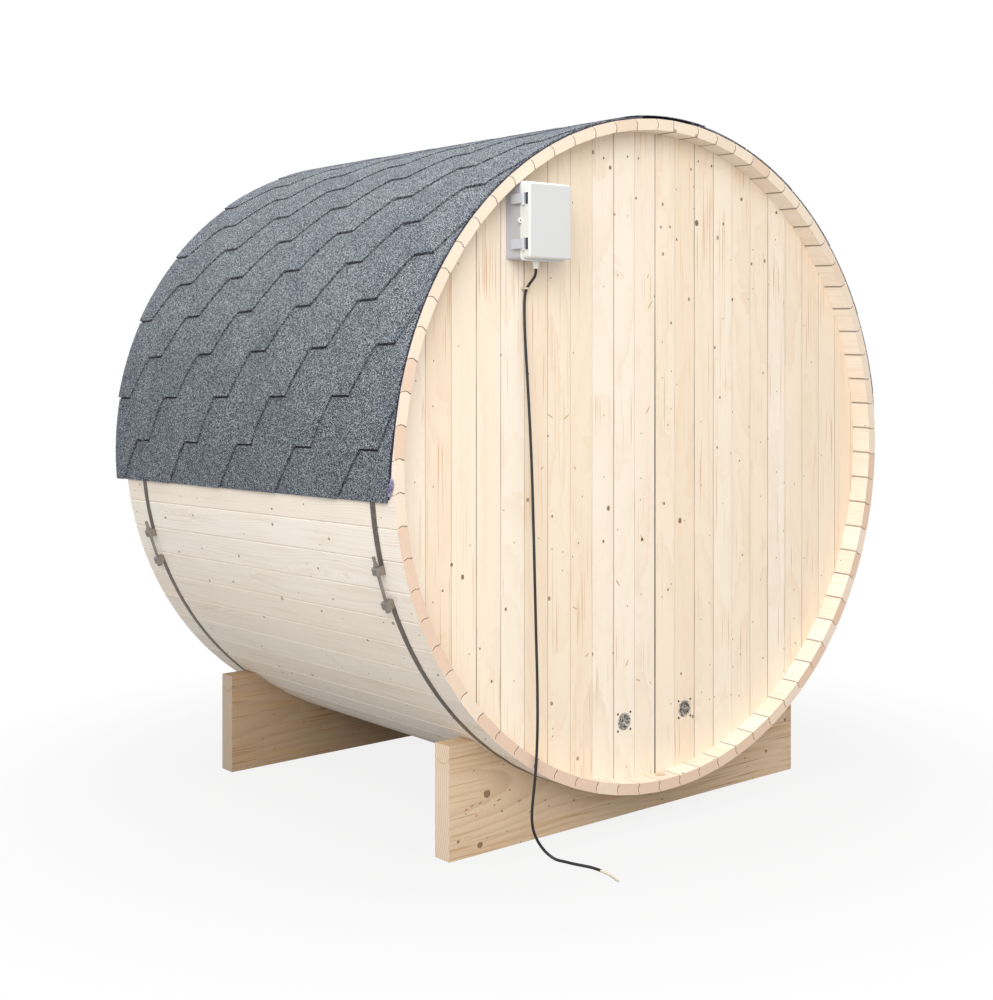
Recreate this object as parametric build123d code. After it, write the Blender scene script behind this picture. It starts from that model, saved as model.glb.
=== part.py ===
from build123d import *
import os
from math import cos, degrees, radians, sin, tan

# Outdoor barrel sauna. Sizes are in millimetres.
# The model is drawn in barrel coordinates: x to the right, y into the barrel from the face of the
# service end, z up from the barrel's axis. It is moved once, on export, to stand on the floor.

# Barrel
OUTER_R = 1000.0
STAVE_THICK = 33.0
INNER_R = OUTER_R - STAVE_THICK
BARREL_LEN = 1535.0
STAVE_COUNT = 72
STAVE_PITCH = 360.0 / STAVE_COUNT
FIRST_JOINT = 3.0
STAVES_PER_SEGMENT = 6
BEAD_DEPTH = 7.0
STAVE_CHAMFER = 2.0
STAVE_SEAM = 0.6
CLOSING_JOINT = 88.8
AXIS_HEIGHT = 1095.0

# End walls, held in a groove cut round the inside of the staves
WALL_RECESS = 67.0
WALL_THICK = 33.0
GROOVE_DEPTH = 10.0
WALL_FIT = 0.3
WALL_R = INNER_R + GROOVE_DEPTH
BOARD_PITCH = 85.8
BOARD_OFFSET = 8.0
SEAM_WIDTH = 2.4
SEAM_DEPTH = 2.0
OPEN_SEAM_DEPTH = 6.0
FRONT_WALL_Y = BARREL_LEN - WALL_RECESS - WALL_THICK

# Air vents and drain plug in the service end
VENT_X = (-121.0, 135.5)
VENT_Z = -790.0
VENT_HOLE_R = 26.0
VENT_R = 25.6
VENT_RIM = 5.0
VENT_RIM_Y = (-0.8, 5.0)
VENT_MESH_Y = (2.5, 4.5)
VENT_BAR = 1.6
VENT_PITCH = 4.4
VENT_HUB_R = 3.0
PLUG_X = 8.0
PLUG_Y = 45.0
PLUG_R = 16.0

# Cradles
CRADLE_Y = (135.0, 1331.0)
CRADLE_THICK = 65.0
CRADLE_WIDTH = 1440.0
CRADLE_TOP = -776.0
SEAT_GAP = 0.3
CRADLE_SEAM_DROP = 34.0
CRADLE_BEAD = 17.0
CRADLE_SEAM = 1.2
CRADLE_SEAM_DEPTH = 2.0

# Steel bands, their clamps and bolts
BAND_Y = (100.0, 1409.0)
BAND_WIDTH = 22.0
BAND_THICK = 1.4
BAND_R = OUTER_R + 0.3
CLAMP_ANGLES = ((15.15, 20.65), (16.2, 21.6))
LUG_GAP = 0.1
LUG_RADIAL = 25.0
LUG_ROUND = 5.0
LUG_ANGLE = degrees(24.0 / OUTER_R)
BOLT_R = 4.5
BOLT_OFFSET = 14.0
BOLT_FIT = 0.25
BOLT_GAP = 1.2
BOLT_SPARE = 22.0
NUT_R = 8.0
NUT_THICK = 7.0

# Bitumen shingles, counted upwards from the horizontal on each side.
# They were laid a little askew, so each eave drops or climbs from the near end to the far one.
SHINGLE_R = OUTER_R + 2.3
SHINGLE_THICK = 5.0
SHINGLE_STEP = 4.0
EAVE_LEFT = (-4.6, -6.5)
EAVE_RIGHT = (-6.0, -4.1)
COURSE_FIRST = 2.0
COURSE_STEP = 8.05
COURSE_COUNT = 10
COURSE_TOP = 89.9
COURSE_GAP = 0.03
ROOF_NEAR_Y = 0.0
ROOF_FAR_Y = BARREL_LEN + 60.0
RIDGE_FROM = 81.0
RIDGE_TO = 103.0
RIDGE_THICK = 5.0

# Junction box on the service-end wall
BOX_X = -499.5
BOX_Z = 668.0
LID_WIDTH = 152.0
LID_HEIGHT = 207.0
LID_FRONT_Y = -38.0
LID_BACK_Y = -7.5
BASE_WIDTH = 150.0
BASE_HEIGHT = 208.0
RIM_WIDTH = 154.0
RIM_HEIGHT = 218.0
RIM_Y = (-7.0, 1.0)
BOX_WALL = 3.0
BOX_CORNER = 8.0
LID_EDGE = 5.0
HINGE_X = BOX_X + RIM_WIDTH / 2 + 5.5
HINGE_Y = -7.25
KNUCKLE_R = 4.0
HINGE_PIN_R = 1.8
PIN_FIT = 0.05
PIN_HOLD = 0.02
LID_KNUCKLE_HALF = 60.0
BASE_KNUCKLE_END = 85.0

# Snap latches on the lid's left edge
LATCH_Z = (728.0, 604.0)
LATCH_X = BOX_X - LID_WIDTH / 2 - 5.5
LATCH_Y = -16.0
LATCH_HEIGHT = 27.0
LATCH_THICK = 4.0
LATCH_REACH = 32.0
LATCH_BARREL_R = 4.0
LATCH_PIN_R = 2.0
EAR_THICK = 4.0
EAR_GAP = 0.5

# Cable and gland
CABLE_R = 4.0
TAIL_R = 3.5
GLAND_X = -510.0
GLAND_Y = 14.0
GLAND_END_Z = 539.0
CLIP_X = -508.5
CLIP_Y = 54.6
CLIP_Z = 485.5
CLIP_TALL = 5.0
CLIP_HOLE_R = 6.6
CLIP_R = 8.1
CLIP_BLOCK = 7.0
FLOOR_CABLE_Z = CABLE_R - AXIS_HEIGHT
CABLE_ROUTE = [
    (-510.0, 14.0, 539.0), (-510.0, 14.0, 524.0), (-508.6, 25.0, 512.5), (-507.3, 39.5, 502.5),
    (-507.6, 51.5, 491.5), (-509.6, 58.5, 478.0), (-511.6, 61.0, 458.0), (-513.4, 60.0, 426.0),
    (-516.0, 55.0, 365.0), (-515.0, 47.5, 265.0), (-513.5, 40.0, 160.0), (-512.5, 32.8, 50.0),
    (-512.3, 26.6, -60.0), (-512.8, 21.4, -170.0), (-513.7, 16.2, -280.0), (-515.0, 10.6, -390.0),
    (-517.0, 4.6, -490.0), (-519.4, -1.5, -565.0), (-522.2, -6.5, -620.0), (-524.6, -10.0, -665.0),
    (-526.4, -12.2, -720.0), (-529.0, -12.8, -785.0), (-533.6, -12.6, -850.0), (-540.6, -12.4, -905.0),
    (-546.4, -12.6, -945.0), (-548.0, -12.9, -980.0), (-542.6, -13.4, -1010.0),
    (-530.0, -15.5, -1038.0), (-514.5, -21.0, -1063.0), (-500.5, -32.0, -1081.0),
    (-490.5, -49.0, FLOOR_CABLE_Z), (-482.5, -74.0, FLOOR_CABLE_Z), (-476.5, -104.0, FLOOR_CABLE_Z),
    (-467.0, -131.0, FLOOR_CABLE_Z), (-459.0, -155.0, FLOOR_CABLE_Z), (-456.5, -180.0, FLOOR_CABLE_Z),
    (-457.2, -208.0, FLOOR_CABLE_Z), (-461.6, -236.0, FLOOR_CABLE_Z), (-469.0, -262.0, FLOOR_CABLE_Z),
    (-477.0, -283.0, FLOOR_CABLE_Z),
]
TAIL_RUN = 35

# Door end
DOOR_HALF_WIDTH = 329.0
DOOR_HALF_HEIGHT = 829.0
DOOR_GAP = 5.0
FRAME_LAP = 12.0
FRAME_WIDTH = 52.0
FRAME_THICK = 20.0
HINGE_PLATE = (120.0, 40.0, 3.0)
KNUCKLE = 6.0
DOOR_HINGE_Z = (-560.0, 560.0)
HANDLE_LEN = 320.0
HANDLE_BAR = 34.0
HANDLE_STAND = 46.0
HANDLE_ROUND = 8.0
HANDLE_X = -270.0
STANDOFF = (24.0, 30.0)
STANDOFF_INSET = 45.0

MID_Y = (LID_FRONT_Y + ROOF_FAR_Y) / 2


def polar(radius, angle):
    """A point of the barrel's cross-section, the angle counted from the right-hand side."""
    return (radius * cos(radians(angle)), radius * sin(radians(angle)))


def along_barrel(profile, y_from, y_to):
    """A cross-section drawn as seen from the service end, run along the barrel."""
    return extrude(Plane.XZ.offset(-y_from) * profile, amount=-(y_to - y_from))


def block(x_from, x_to, y_from, y_to, z_from, z_to):
    """A plain rectangular block between its limits."""
    size = (x_to - x_from, y_to - y_from, z_to - z_from)
    middle = ((x_from + x_to) / 2, (y_from + y_to) / 2, (z_from + z_to) / 2)
    return Pos(*middle) * Box(*size)


def upright_rod(x, y, z_from, z_to, radius):
    """A round rod that stands upright."""
    return Pos(x, y, (z_from + z_to) / 2) * Cylinder(radius, z_to - z_from)


def disc(radius, y_from, y_to):
    """A round plate across the barrel."""
    return along_barrel(Circle(radius), y_from, y_to)


# Barrel
def joint_angles():
    """Where each stave ends; the last two share a straight joint near the top."""
    angles = [FIRST_JOINT + STAVE_PITCH * number for number in range(STAVE_COUNT)]
    angles[int((CLOSING_JOINT - FIRST_JOINT) // STAVE_PITCH)] = CLOSING_JOINT
    return angles


def stave_profile(start, end):
    """One stave: flat faces, a bead on its clockwise edge and a cove on the other."""
    seam = degrees(STAVE_SEAM / 2 / OUTER_R)
    chamfer = degrees(STAVE_CHAMFER / OUTER_R)
    shoulder = OUTER_R - STAVE_CHAMFER
    middle_r = (shoulder + INNER_R) / 2
    bulge = degrees(BEAD_DEPTH / middle_r)
    low, high = start + seam, end - seam
    low_bulge = 0.0 if start == CLOSING_JOINT else bulge
    high_bulge = 0.0 if end == CLOSING_JOINT else bulge
    edges = [
        Line(polar(OUTER_R, low + chamfer), polar(OUTER_R, high - chamfer)),
        Line(polar(OUTER_R, high - chamfer), polar(shoulder, high)),
        side_edge(shoulder, middle_r, high, high_bulge),
        Line(polar(INNER_R, high), polar(INNER_R, low)),
        side_edge(shoulder, middle_r, low, low_bulge),
        Line(polar(shoulder, low), polar(OUTER_R, low + chamfer)),
    ]
    return make_face(edges)


def side_edge(shoulder, middle_r, angle, bulge):
    """The edge between two staves, curved clockwise, or straight where there is no bead."""
    if bulge == 0.0:
        return Line(polar(shoulder, angle), polar(INNER_R, angle))
    middle = polar(middle_r, angle - bulge)
    return ThreePointArc(polar(shoulder, angle), middle, polar(INNER_R, angle))


def wall_groove(y_from):
    """The ring cut out of the staves' inner faces for the edge of an end wall."""
    low, high = y_from - WALL_FIT, y_from + WALL_THICK + WALL_FIT
    return disc(WALL_R + WALL_FIT, low, high) - disc(INNER_R - 20, low, high)


def stave_segments():
    """Staves side by side round the barrel, in groups that don't touch."""
    joints = joint_angles()
    joints.append(joints[0] + 360.0)
    grooves = [wall_groove(WALL_RECESS), wall_groove(FRONT_WALL_Y)]
    for first in range(0, STAVE_COUNT, STAVES_PER_SEGMENT):
        staves = []
        for number in range(first, first + STAVES_PER_SEGMENT):
            stave = along_barrel(stave_profile(joints[number], joints[number + 1]), 0, BARREL_LEN)
            for groove in grooves:
                stave -= groove
            staves.append(stave)
        yield f"staves_{first // STAVES_PER_SEGMENT + 1:02d}", staves


# End walls
def board_seams(y_face, side):
    """V grooves between the vertical boards, cut into the face that looks outwards."""
    seams = []
    count = int(WALL_R // BOARD_PITCH) + 1
    for number in range(-count, count + 1):
        x = BOARD_OFFSET + BOARD_PITCH * number
        if abs(x) > WALL_R - SEAM_WIDTH:
            continue
        depth = OPEN_SEAM_DEPTH if number == 0 else SEAM_DEPTH
        left, right = (x - SEAM_WIDTH / 2, y_face), (x + SEAM_WIDTH / 2, y_face)
        root = (x, y_face + side * depth)
        vee = make_face([Line(left, right), Line(right, root), Line(root, left)])
        seams.append(extrude(vee, amount=WALL_R, both=True))
    return seams


def rear_wall():
    """The wall of the service end, with the two vent holes through it."""
    wall = disc(WALL_R, WALL_RECESS, WALL_RECESS + WALL_THICK)
    for seam in board_seams(WALL_RECESS, 1):
        wall -= seam
    for x in VENT_X:
        wall -= along_barrel(Pos(x, VENT_Z) * Circle(VENT_HOLE_R), 0, 2 * WALL_RECESS)
    return wall


def front_walls():
    """The wall of the door end, in four pieces round the doorway."""
    wall = disc(WALL_R, FRONT_WALL_Y, FRONT_WALL_Y + WALL_THICK)
    for seam in board_seams(FRONT_WALL_Y + WALL_THICK, -1):
        wall -= seam
    side = DOOR_HALF_WIDTH + DOOR_GAP
    head = DOOR_HALF_HEIGHT + DOOR_GAP
    low_y, high_y = FRONT_WALL_Y - 5, FRONT_WALL_Y + WALL_THICK + 5
    return {
        "front_wall_left": wall & block(-OUTER_R, -side, low_y, high_y, -OUTER_R, OUTER_R),
        "front_wall_right": wall & block(side, OUTER_R, low_y, high_y, -OUTER_R, OUTER_R),
        "front_wall_top": wall & block(-side, side, low_y, high_y, head, OUTER_R),
        "front_wall_bottom": wall & block(-side, side, low_y, high_y, -OUTER_R, -head),
    }


def vent(x):
    """A round insert: a flat rim just proud of the wall, and a recessed mesh of rings and spokes."""
    opening = VENT_R - VENT_RIM
    mesh = Sketch() + Circle(VENT_HUB_R)
    for number in range(1, int((opening - VENT_HUB_R) // VENT_PITCH) + 1):
        radius = opening - VENT_PITCH * number
        mesh += Circle(radius + VENT_BAR) - Circle(radius)
    for turn in range(4):
        mesh += Rot(0, 0, 45 * turn) * Rectangle(2 * opening + 1, VENT_BAR)
    rim = Circle(VENT_R) - Circle(opening)
    centre = Pos(x, VENT_Z)
    rim_limits = (WALL_RECESS + depth for depth in VENT_RIM_Y)
    mesh_limits = (WALL_RECESS + depth for depth in VENT_MESH_Y)
    return along_barrel(centre * rim, *rim_limits) + along_barrel(centre * mesh, *mesh_limits)


def drain_plug():
    """A flush round plug on the bottom of the recess."""
    bottom = -INNER_R * cos(radians(STAVE_PITCH / 2))
    return upright_rod(PLUG_X, PLUG_Y, bottom + 1.0, bottom + 3.0, PLUG_R)


# Door
def front_door():
    """A door leaf of vertical boards."""
    leaf = block(-DOOR_HALF_WIDTH, DOOR_HALF_WIDTH, FRONT_WALL_Y, FRONT_WALL_Y + WALL_THICK,
                 -DOOR_HALF_HEIGHT, DOOR_HALF_HEIGHT)
    for seam in board_seams(FRONT_WALL_Y + WALL_THICK, -1):
        leaf -= seam
    return leaf


def door_frame():
    """The stop that the door closes against, fixed to the wall's inner face."""
    inner_x = DOOR_HALF_WIDTH + DOOR_GAP - FRAME_LAP
    inner_z = DOOR_HALF_HEIGHT + DOOR_GAP - FRAME_LAP
    outer = Rectangle(2 * (inner_x + FRAME_WIDTH), 2 * (inner_z + FRAME_WIDTH))
    frame = outer - Rectangle(2 * inner_x, 2 * inner_z)
    return along_barrel(frame, FRONT_WALL_Y - FRAME_THICK, FRONT_WALL_Y)


def door_hinges():
    """Two flat hinges across the gap between the door and the wall."""
    face = FRONT_WALL_Y + WALL_THICK
    length, height, thick = HINGE_PLATE
    pivot = DOOR_HALF_WIDTH + DOOR_GAP / 2
    hinges = []
    for z in DOOR_HINGE_Z:
        low, high = z - height / 2, z + height / 2
        plates = block(pivot - length / 2, pivot + length / 2, face, face + thick, low, high)
        hinges.append(plates + upright_rod(pivot, face + KNUCKLE, low, high, KNUCKLE))
    return hinges


def door_handle():
    """A wooden pull: an upright bar on two stand-offs."""
    face = FRONT_WALL_Y + WALL_THICK
    half, reach = HANDLE_BAR / 2, HANDLE_LEN / 2
    bar_y = face + HANDLE_STAND - half
    bar = block(HANDLE_X - half, HANDLE_X + half, bar_y - half, bar_y + half, -reach, reach)
    bar = fillet(bar.edges().filter_by(Axis.Z), HANDLE_ROUND)
    wide, tall = STANDOFF[0] / 2, STANDOFF[1] / 2
    for z in (STANDOFF_INSET - reach, reach - STANDOFF_INSET):
        bar += block(HANDLE_X - wide, HANDLE_X + wide, face, bar_y, z - tall, z + tall)
    return bar


# Cradles
def cradle(y_from):
    """A plank on edge, hollowed on top to the round of the barrel, with its bead-and-cove seam."""
    half, y_to = CRADLE_WIDTH / 2, y_from + CRADLE_THICK
    plank = block(-half, half, y_from, y_to, -AXIS_HEIGHT, CRADLE_TOP)
    plank -= cradle_seam(y_from, y_to)
    return plank - disc(OUTER_R + SEAT_GAP, y_from - 5, y_to + 5)


def cradle_seam(y_from, y_to):
    """The groove all round a cradle where its top board's bead sits in the cove of the one below."""
    half, middle = CRADLE_WIDTH / 2, (y_from + y_to) / 2
    high = CRADLE_TOP - CRADLE_SEAM_DROP
    low = high - CRADLE_SEAM
    edges = [
        ThreePointArc((y_from, high), (middle, high - CRADLE_BEAD), (y_to, high)),
        Line((y_to, high), (y_to, low)),
        ThreePointArc((y_to, low), (middle, low - CRADLE_BEAD), (y_from, low)),
        Line((y_from, low), (y_from, high)),
    ]
    sheet = extrude(Plane.YZ * make_face(edges), amount=half, both=True)
    inset = CRADLE_SEAM_DEPTH
    return sheet - block(inset - half, half - inset, y_from + inset, y_to - inset, -AXIS_HEIGHT, CRADLE_TOP)


# Bands
def arc_strip(r_from, r_to, start, end):
    """A flat curved strip between two radii and two angles."""
    middle = (start + end) / 2
    edges = [
        ThreePointArc(polar(r_to, start), polar(r_to, middle), polar(r_to, end)),
        Line(polar(r_to, end), polar(r_from, end)),
        ThreePointArc(polar(r_from, end), polar(r_from, middle), polar(r_from, start)),
        Line(polar(r_from, start), polar(r_to, start)),
    ]
    return make_face(edges)


def band(y_middle, high_lug, low_lug):
    """A steel band in two halves, each ending at its clamp lugs."""
    y_from, y_to = y_middle - BAND_WIDTH / 2, y_middle + BAND_WIDTH / 2
    half = LUG_ANGLE / 2
    upper = arc_strip(BAND_R, BAND_R + BAND_THICK, -high_lug - half, 180 + high_lug + half)
    lower = arc_strip(BAND_R, BAND_R + BAND_THICK, 180 + low_lug - half, 360 - low_lug + half)
    return [along_barrel(upper, y_from, y_to), along_barrel(lower, y_from, y_to)]


def clamp_frame(angle):
    """Local axes at a clamp: x outwards from the barrel, z along the band, upwards."""
    out = (cos(radians(angle)), 0, sin(radians(angle)))
    up = (-sin(radians(angle)), 0, cos(radians(angle)))
    if cos(radians(angle)) < 0:
        up = (sin(radians(angle)), 0, -cos(radians(angle)))
    return out, up


def clamp_plane(angle, y_middle):
    """The plane across the bolt at a clamp."""
    out, up = clamp_frame(angle)
    return Plane(origin=(0, y_middle, 0), x_dir=out, z_dir=up)


def lug(angle, y_middle):
    """A band end folded into a block."""
    start = BAND_R + BAND_THICK + LUG_GAP
    size = radians(LUG_ANGLE) * OUTER_R
    body = Pos(start + LUG_RADIAL / 2, 0, 0) * Box(LUG_RADIAL, BAND_WIDTH, size)
    body = fillet(body.edges().filter_by(Axis.Y).sort_by(Axis.X)[-2:], LUG_ROUND)
    return clamp_plane(angle, y_middle).location * body


def bolt_line():
    """How far out from the barrel's axis the bolts stand."""
    return BAND_R + BAND_THICK + LUG_GAP + BOLT_OFFSET


def clamp_lugs(y_middle, high_lug, low_lug):
    """Four lugs of one band, each pair bored through for its bolt."""
    middle = (high_lug + low_lug) / 2
    left = (180 + high_lug, 180 + low_lug, 180 + middle)
    right = (360 - high_lug, 360 - low_lug, 360 - middle)
    lugs = []
    for high, low, centre in (left, right):
        bore = Pos(bolt_line(), 0, 0) * Cylinder(BOLT_R + BOLT_FIT, 300)
        bore = clamp_plane(centre, y_middle).location * bore
        lugs += [lug(high, y_middle) - bore, lug(low, y_middle) - bore]
    return lugs


def clamp_bolts(y_middle, high_lug, low_lug):
    """Two bolts of one band, each with its head below and its nut and spare thread above."""
    middle = (high_lug + low_lug) / 2
    apart = radians(low_lug - high_lug) * OUTER_R
    lug_half = radians(LUG_ANGLE) * OUTER_R / 2
    reach = apart / 2 + lug_half + BOLT_GAP
    top = reach + NUT_THICK + BOLT_SPARE
    hexagon = extrude(RegularPolygon(NUT_R, 6), amount=NUT_THICK)
    bolt = Pos(0, 0, (top - reach) / 2) * Cylinder(BOLT_R, top + reach)
    bolt += Pos(0, 0, reach) * hexagon
    bolt += Pos(0, 0, -reach - NUT_THICK) * hexagon
    bolt = Pos(bolt_line(), 0, 0) * bolt
    return [clamp_plane(angle, y_middle).location * bolt for angle in (180 + middle, 360 - middle)]


# Roof
def course_profile(low, high):
    """One course of shingles, thicker at its lower edge where it laps the course below."""
    middle = (low + high) / 2
    crown = SHINGLE_R + SHINGLE_THICK
    butt = crown + SHINGLE_STEP
    edges = [
        ThreePointArc(polar(SHINGLE_R, low), polar(SHINGLE_R, middle), polar(SHINGLE_R, high)),
        Line(polar(SHINGLE_R, high), polar(crown, high)),
        ThreePointArc(polar(crown, high), polar((crown + butt) / 2, middle), polar(butt, low)),
        Line(polar(butt, low), polar(SHINGLE_R, low)),
    ]
    return make_face(edges)


def eave_waste(eave):
    """What is cut off below a slanting eave, given by its angles at the near and the far end."""
    heights = [OUTER_R * sin(radians(angle)) for angle in eave]
    low = min(heights) - SHINGLE_THICK
    near, far = ROOF_NEAR_Y - 1, ROOF_FAR_Y + 1
    corners = [(near, heights[0]), (far, heights[1]), (far, low), (near, low)]
    return extrude(Plane.YZ * make_face(Polyline(*corners, close=True)), amount=2 * OUTER_R)


def shingle_courses(eave):
    """The courses of the right-hand side, from the eave up to the middle of the roof."""
    limits = [min(eave)]
    limits += [COURSE_FIRST + COURSE_STEP * number for number in range(COURSE_COUNT + 1)]
    limits.append(COURSE_TOP)
    profiles = [course_profile(low + COURSE_GAP, high) for low, high in zip(limits, limits[1:])]
    courses = [along_barrel(profile, ROOF_NEAR_Y, ROOF_FAR_Y) for profile in profiles]
    courses[0] -= eave_waste(eave)
    return courses


def ridge_strip():
    """A thicker strip of shingle along the top."""
    low = SHINGLE_R + SHINGLE_THICK + SHINGLE_STEP + 0.3
    return along_barrel(arc_strip(low, low + RIDGE_THICK, RIDGE_FROM, RIDGE_TO), ROOF_NEAR_Y, ROOF_FAR_Y)


# Junction box
def box_plate(width, height, y_from, y_to):
    """A slab of the box with rounded corners."""
    return along_barrel(Pos(BOX_X, BOX_Z) * RectangleRounded(width, height, BOX_CORNER), y_from, y_to)


def hinge_knuckle(z_from, z_to, web_x, web_y, bore):
    """A length of hinge barrel with the web that carries it."""
    knuckle = upright_rod(HINGE_X, HINGE_Y, z_from, z_to, KNUCKLE_R)
    knuckle += block(web_x, HINGE_X, web_y[0], web_y[1], z_from, z_to)
    return knuckle - upright_rod(HINGE_X, HINGE_Y, z_from - 1, z_to + 1, bore)


def box_base():
    """The open-fronted base of the box, with its rim, hinge knuckles and padlock eye."""
    base = box_plate(BASE_WIDTH, BASE_HEIGHT, RIM_Y[0], WALL_RECESS)
    base += box_plate(RIM_WIDTH, RIM_HEIGHT, *RIM_Y)
    inside = 2 * BOX_WALL
    base -= box_plate(BASE_WIDTH - inside, BASE_HEIGHT - inside, RIM_Y[0] - 1, WALL_RECESS - BOX_WALL)
    web_x = BOX_X + RIM_WIDTH / 2 - 1
    for side in (-1, 1):
        ends = sorted((side * (LID_KNUCKLE_HALF + 0.5), side * BASE_KNUCKLE_END))
        base += hinge_knuckle(BOX_Z + ends[0], BOX_Z + ends[1], web_x, (HINGE_Y + 0.25, HINGE_Y + 3.75),
                              HINGE_PIN_R + PIN_HOLD)
    eye_x = BOX_X - RIM_WIDTH / 2
    eye = block(eye_x - 6, eye_x + 1, -6, -2, BOX_Z - 7, BOX_Z + 7)
    eye += along_barrel(Pos(eye_x - 6, BOX_Z) * Circle(7), -6, -2)
    eye -= along_barrel(Pos(eye_x - 6, BOX_Z) * Circle(2.6), -8, 0)
    bottom = BOX_Z - BASE_HEIGHT / 2
    return base + eye - upright_rod(GLAND_X, GLAND_Y, bottom - 5, bottom + 5, CABLE_R + 1)


def box_lid():
    """The lid: a shallow hollow cover with a hinge knuckle and ears for the two latches."""
    lid = box_plate(LID_WIDTH, LID_HEIGHT, LID_FRONT_Y, LID_BACK_Y)
    lid = fillet(lid.faces().sort_by(Axis.Y)[0].edges(), LID_EDGE)
    inside = 2 * BOX_WALL
    lid -= box_plate(LID_WIDTH - inside, LID_HEIGHT - inside, LID_FRONT_Y + BOX_WALL + 2, LID_BACK_Y + 1)
    web_x = BOX_X + LID_WIDTH / 2 - 1
    lid += hinge_knuckle(BOX_Z - LID_KNUCKLE_HALF, BOX_Z + LID_KNUCKLE_HALF, web_x,
                         (HINGE_Y - 3.75, HINGE_Y - 0.25), HINGE_PIN_R + PIN_FIT)
    for z in LATCH_Z:
        for side in (-1, 1):
            inner = z + side * (LATCH_HEIGHT / 2 + EAR_GAP)
            outer = inner + side * EAR_THICK
            low, high = min(inner, outer), max(inner, outer)
            ear = block(LATCH_X, LATCH_X + 7, LATCH_Y - 4, LATCH_Y + 4, low, high)
            lid += ear + upright_rod(LATCH_X, LATCH_Y, low, high, LATCH_BARREL_R)
        lid += upright_rod(LATCH_X, LATCH_Y, z - LATCH_HEIGHT / 2 - 2, z + LATCH_HEIGHT / 2 + 2, LATCH_PIN_R)
    return lid


def latch(z):
    """A snap latch: a barrel on the lid's pin and a flap back along the side of the base."""
    low, high = z - LATCH_HEIGHT / 2, z + LATCH_HEIGHT / 2
    outer = LATCH_X - LATCH_BARREL_R
    flap = block(outer, outer + LATCH_THICK, LATCH_Y, LATCH_REACH, low, high)
    tip = flap.edges().filter_by(Axis.X).sort_by(Axis.Y)[-2:]
    flap = fillet(tip, 4)
    flap += upright_rod(LATCH_X, LATCH_Y, low, high, LATCH_BARREL_R)
    return flap - upright_rod(LATCH_X, LATCH_Y, low - 1, high + 1, LATCH_PIN_R + PIN_FIT)


def hinge_pin():
    """The pin through the hinge of the box."""
    return upright_rod(HINGE_X, HINGE_Y, BOX_Z - BASE_KNUCKLE_END, BOX_Z + BASE_KNUCKLE_END, HINGE_PIN_R)


# Cable
def cable_gland():
    """A gland under the box: a hexagon and a domed nut that the cable comes out of."""
    top = BOX_Z - BASE_HEIGHT / 2
    hexagon = Pos(GLAND_X, GLAND_Y, top - 4) * extrude(RegularPolygon(12, 6), amount=4, both=True)
    dome = Pos(GLAND_X, GLAND_Y, (top - 8 + GLAND_END_Z) / 2) * Cone(7.0, 10.0, top - 8 - GLAND_END_Z)
    return hexagon + dome


def bend_radii(points):
    """For each inner point the largest arc that its two runs allow."""
    radii = []
    for before, here, after in zip(points, points[1:], points[2:]):
        run_in = Vector(*here) - Vector(*before)
        run_out = Vector(*after) - Vector(*here)
        half_turn = radians(run_in.get_angle(run_out)) / 2
        radii.append(0.45 * min(run_in.length, run_out.length) / tan(half_turn))
    return radii


def tube(points, radii, radius):
    """A round cable along straight runs joined by tangent arcs."""
    path = FilletPolyline(*points, radius=radii)
    section = Plane(origin=path @ 0, z_dir=path % 0) * Circle(radius)
    return sweep(section, path=path), path.length


def cable():
    """The black cable and its bare pale end, which follow one route."""
    radii = bend_radii(CABLE_ROUTE)
    split = tuple((a + b) / 2 for a, b in zip(CABLE_ROUTE[TAIL_RUN], CABLE_ROUTE[TAIL_RUN + 1]))
    black, black_length = tube(CABLE_ROUTE[:TAIL_RUN + 1] + [split], radii[:TAIL_RUN], CABLE_R)
    pale, pale_length = tube([split] + CABLE_ROUTE[TAIL_RUN + 1:], radii[TAIL_RUN:], TAIL_R)
    print("cable bend radii", [round(radius) for radius in radii])
    print("cable lengths", round(black_length), round(pale_length))
    print("volume over section times length", black.volume / (3.14159265 * CABLE_R ** 2 * black_length),
          pale.volume / (3.14159265 * TAIL_R ** 2 * pale_length))
    return black, Pos(0, 0, TAIL_R - CABLE_R) * pale


def cable_clip():
    """A saddle clip that holds the cable to the wall, with the block that its nail goes through."""
    hole = Pos(CLIP_X, CLIP_Y) * Circle(CLIP_HOLE_R)
    saddle = Pos(CLIP_X, CLIP_Y) * Circle(CLIP_R)
    block_x = CLIP_X - CLIP_R - 1.5
    saddle += Pos(block_x, (CLIP_Y + WALL_RECESS) / 2) * Rectangle(CLIP_BLOCK, WALL_RECESS - CLIP_Y)
    return extrude(Plane.XY.offset(CLIP_Z - CLIP_TALL / 2) * (saddle - hole), amount=CLIP_TALL)


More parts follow.
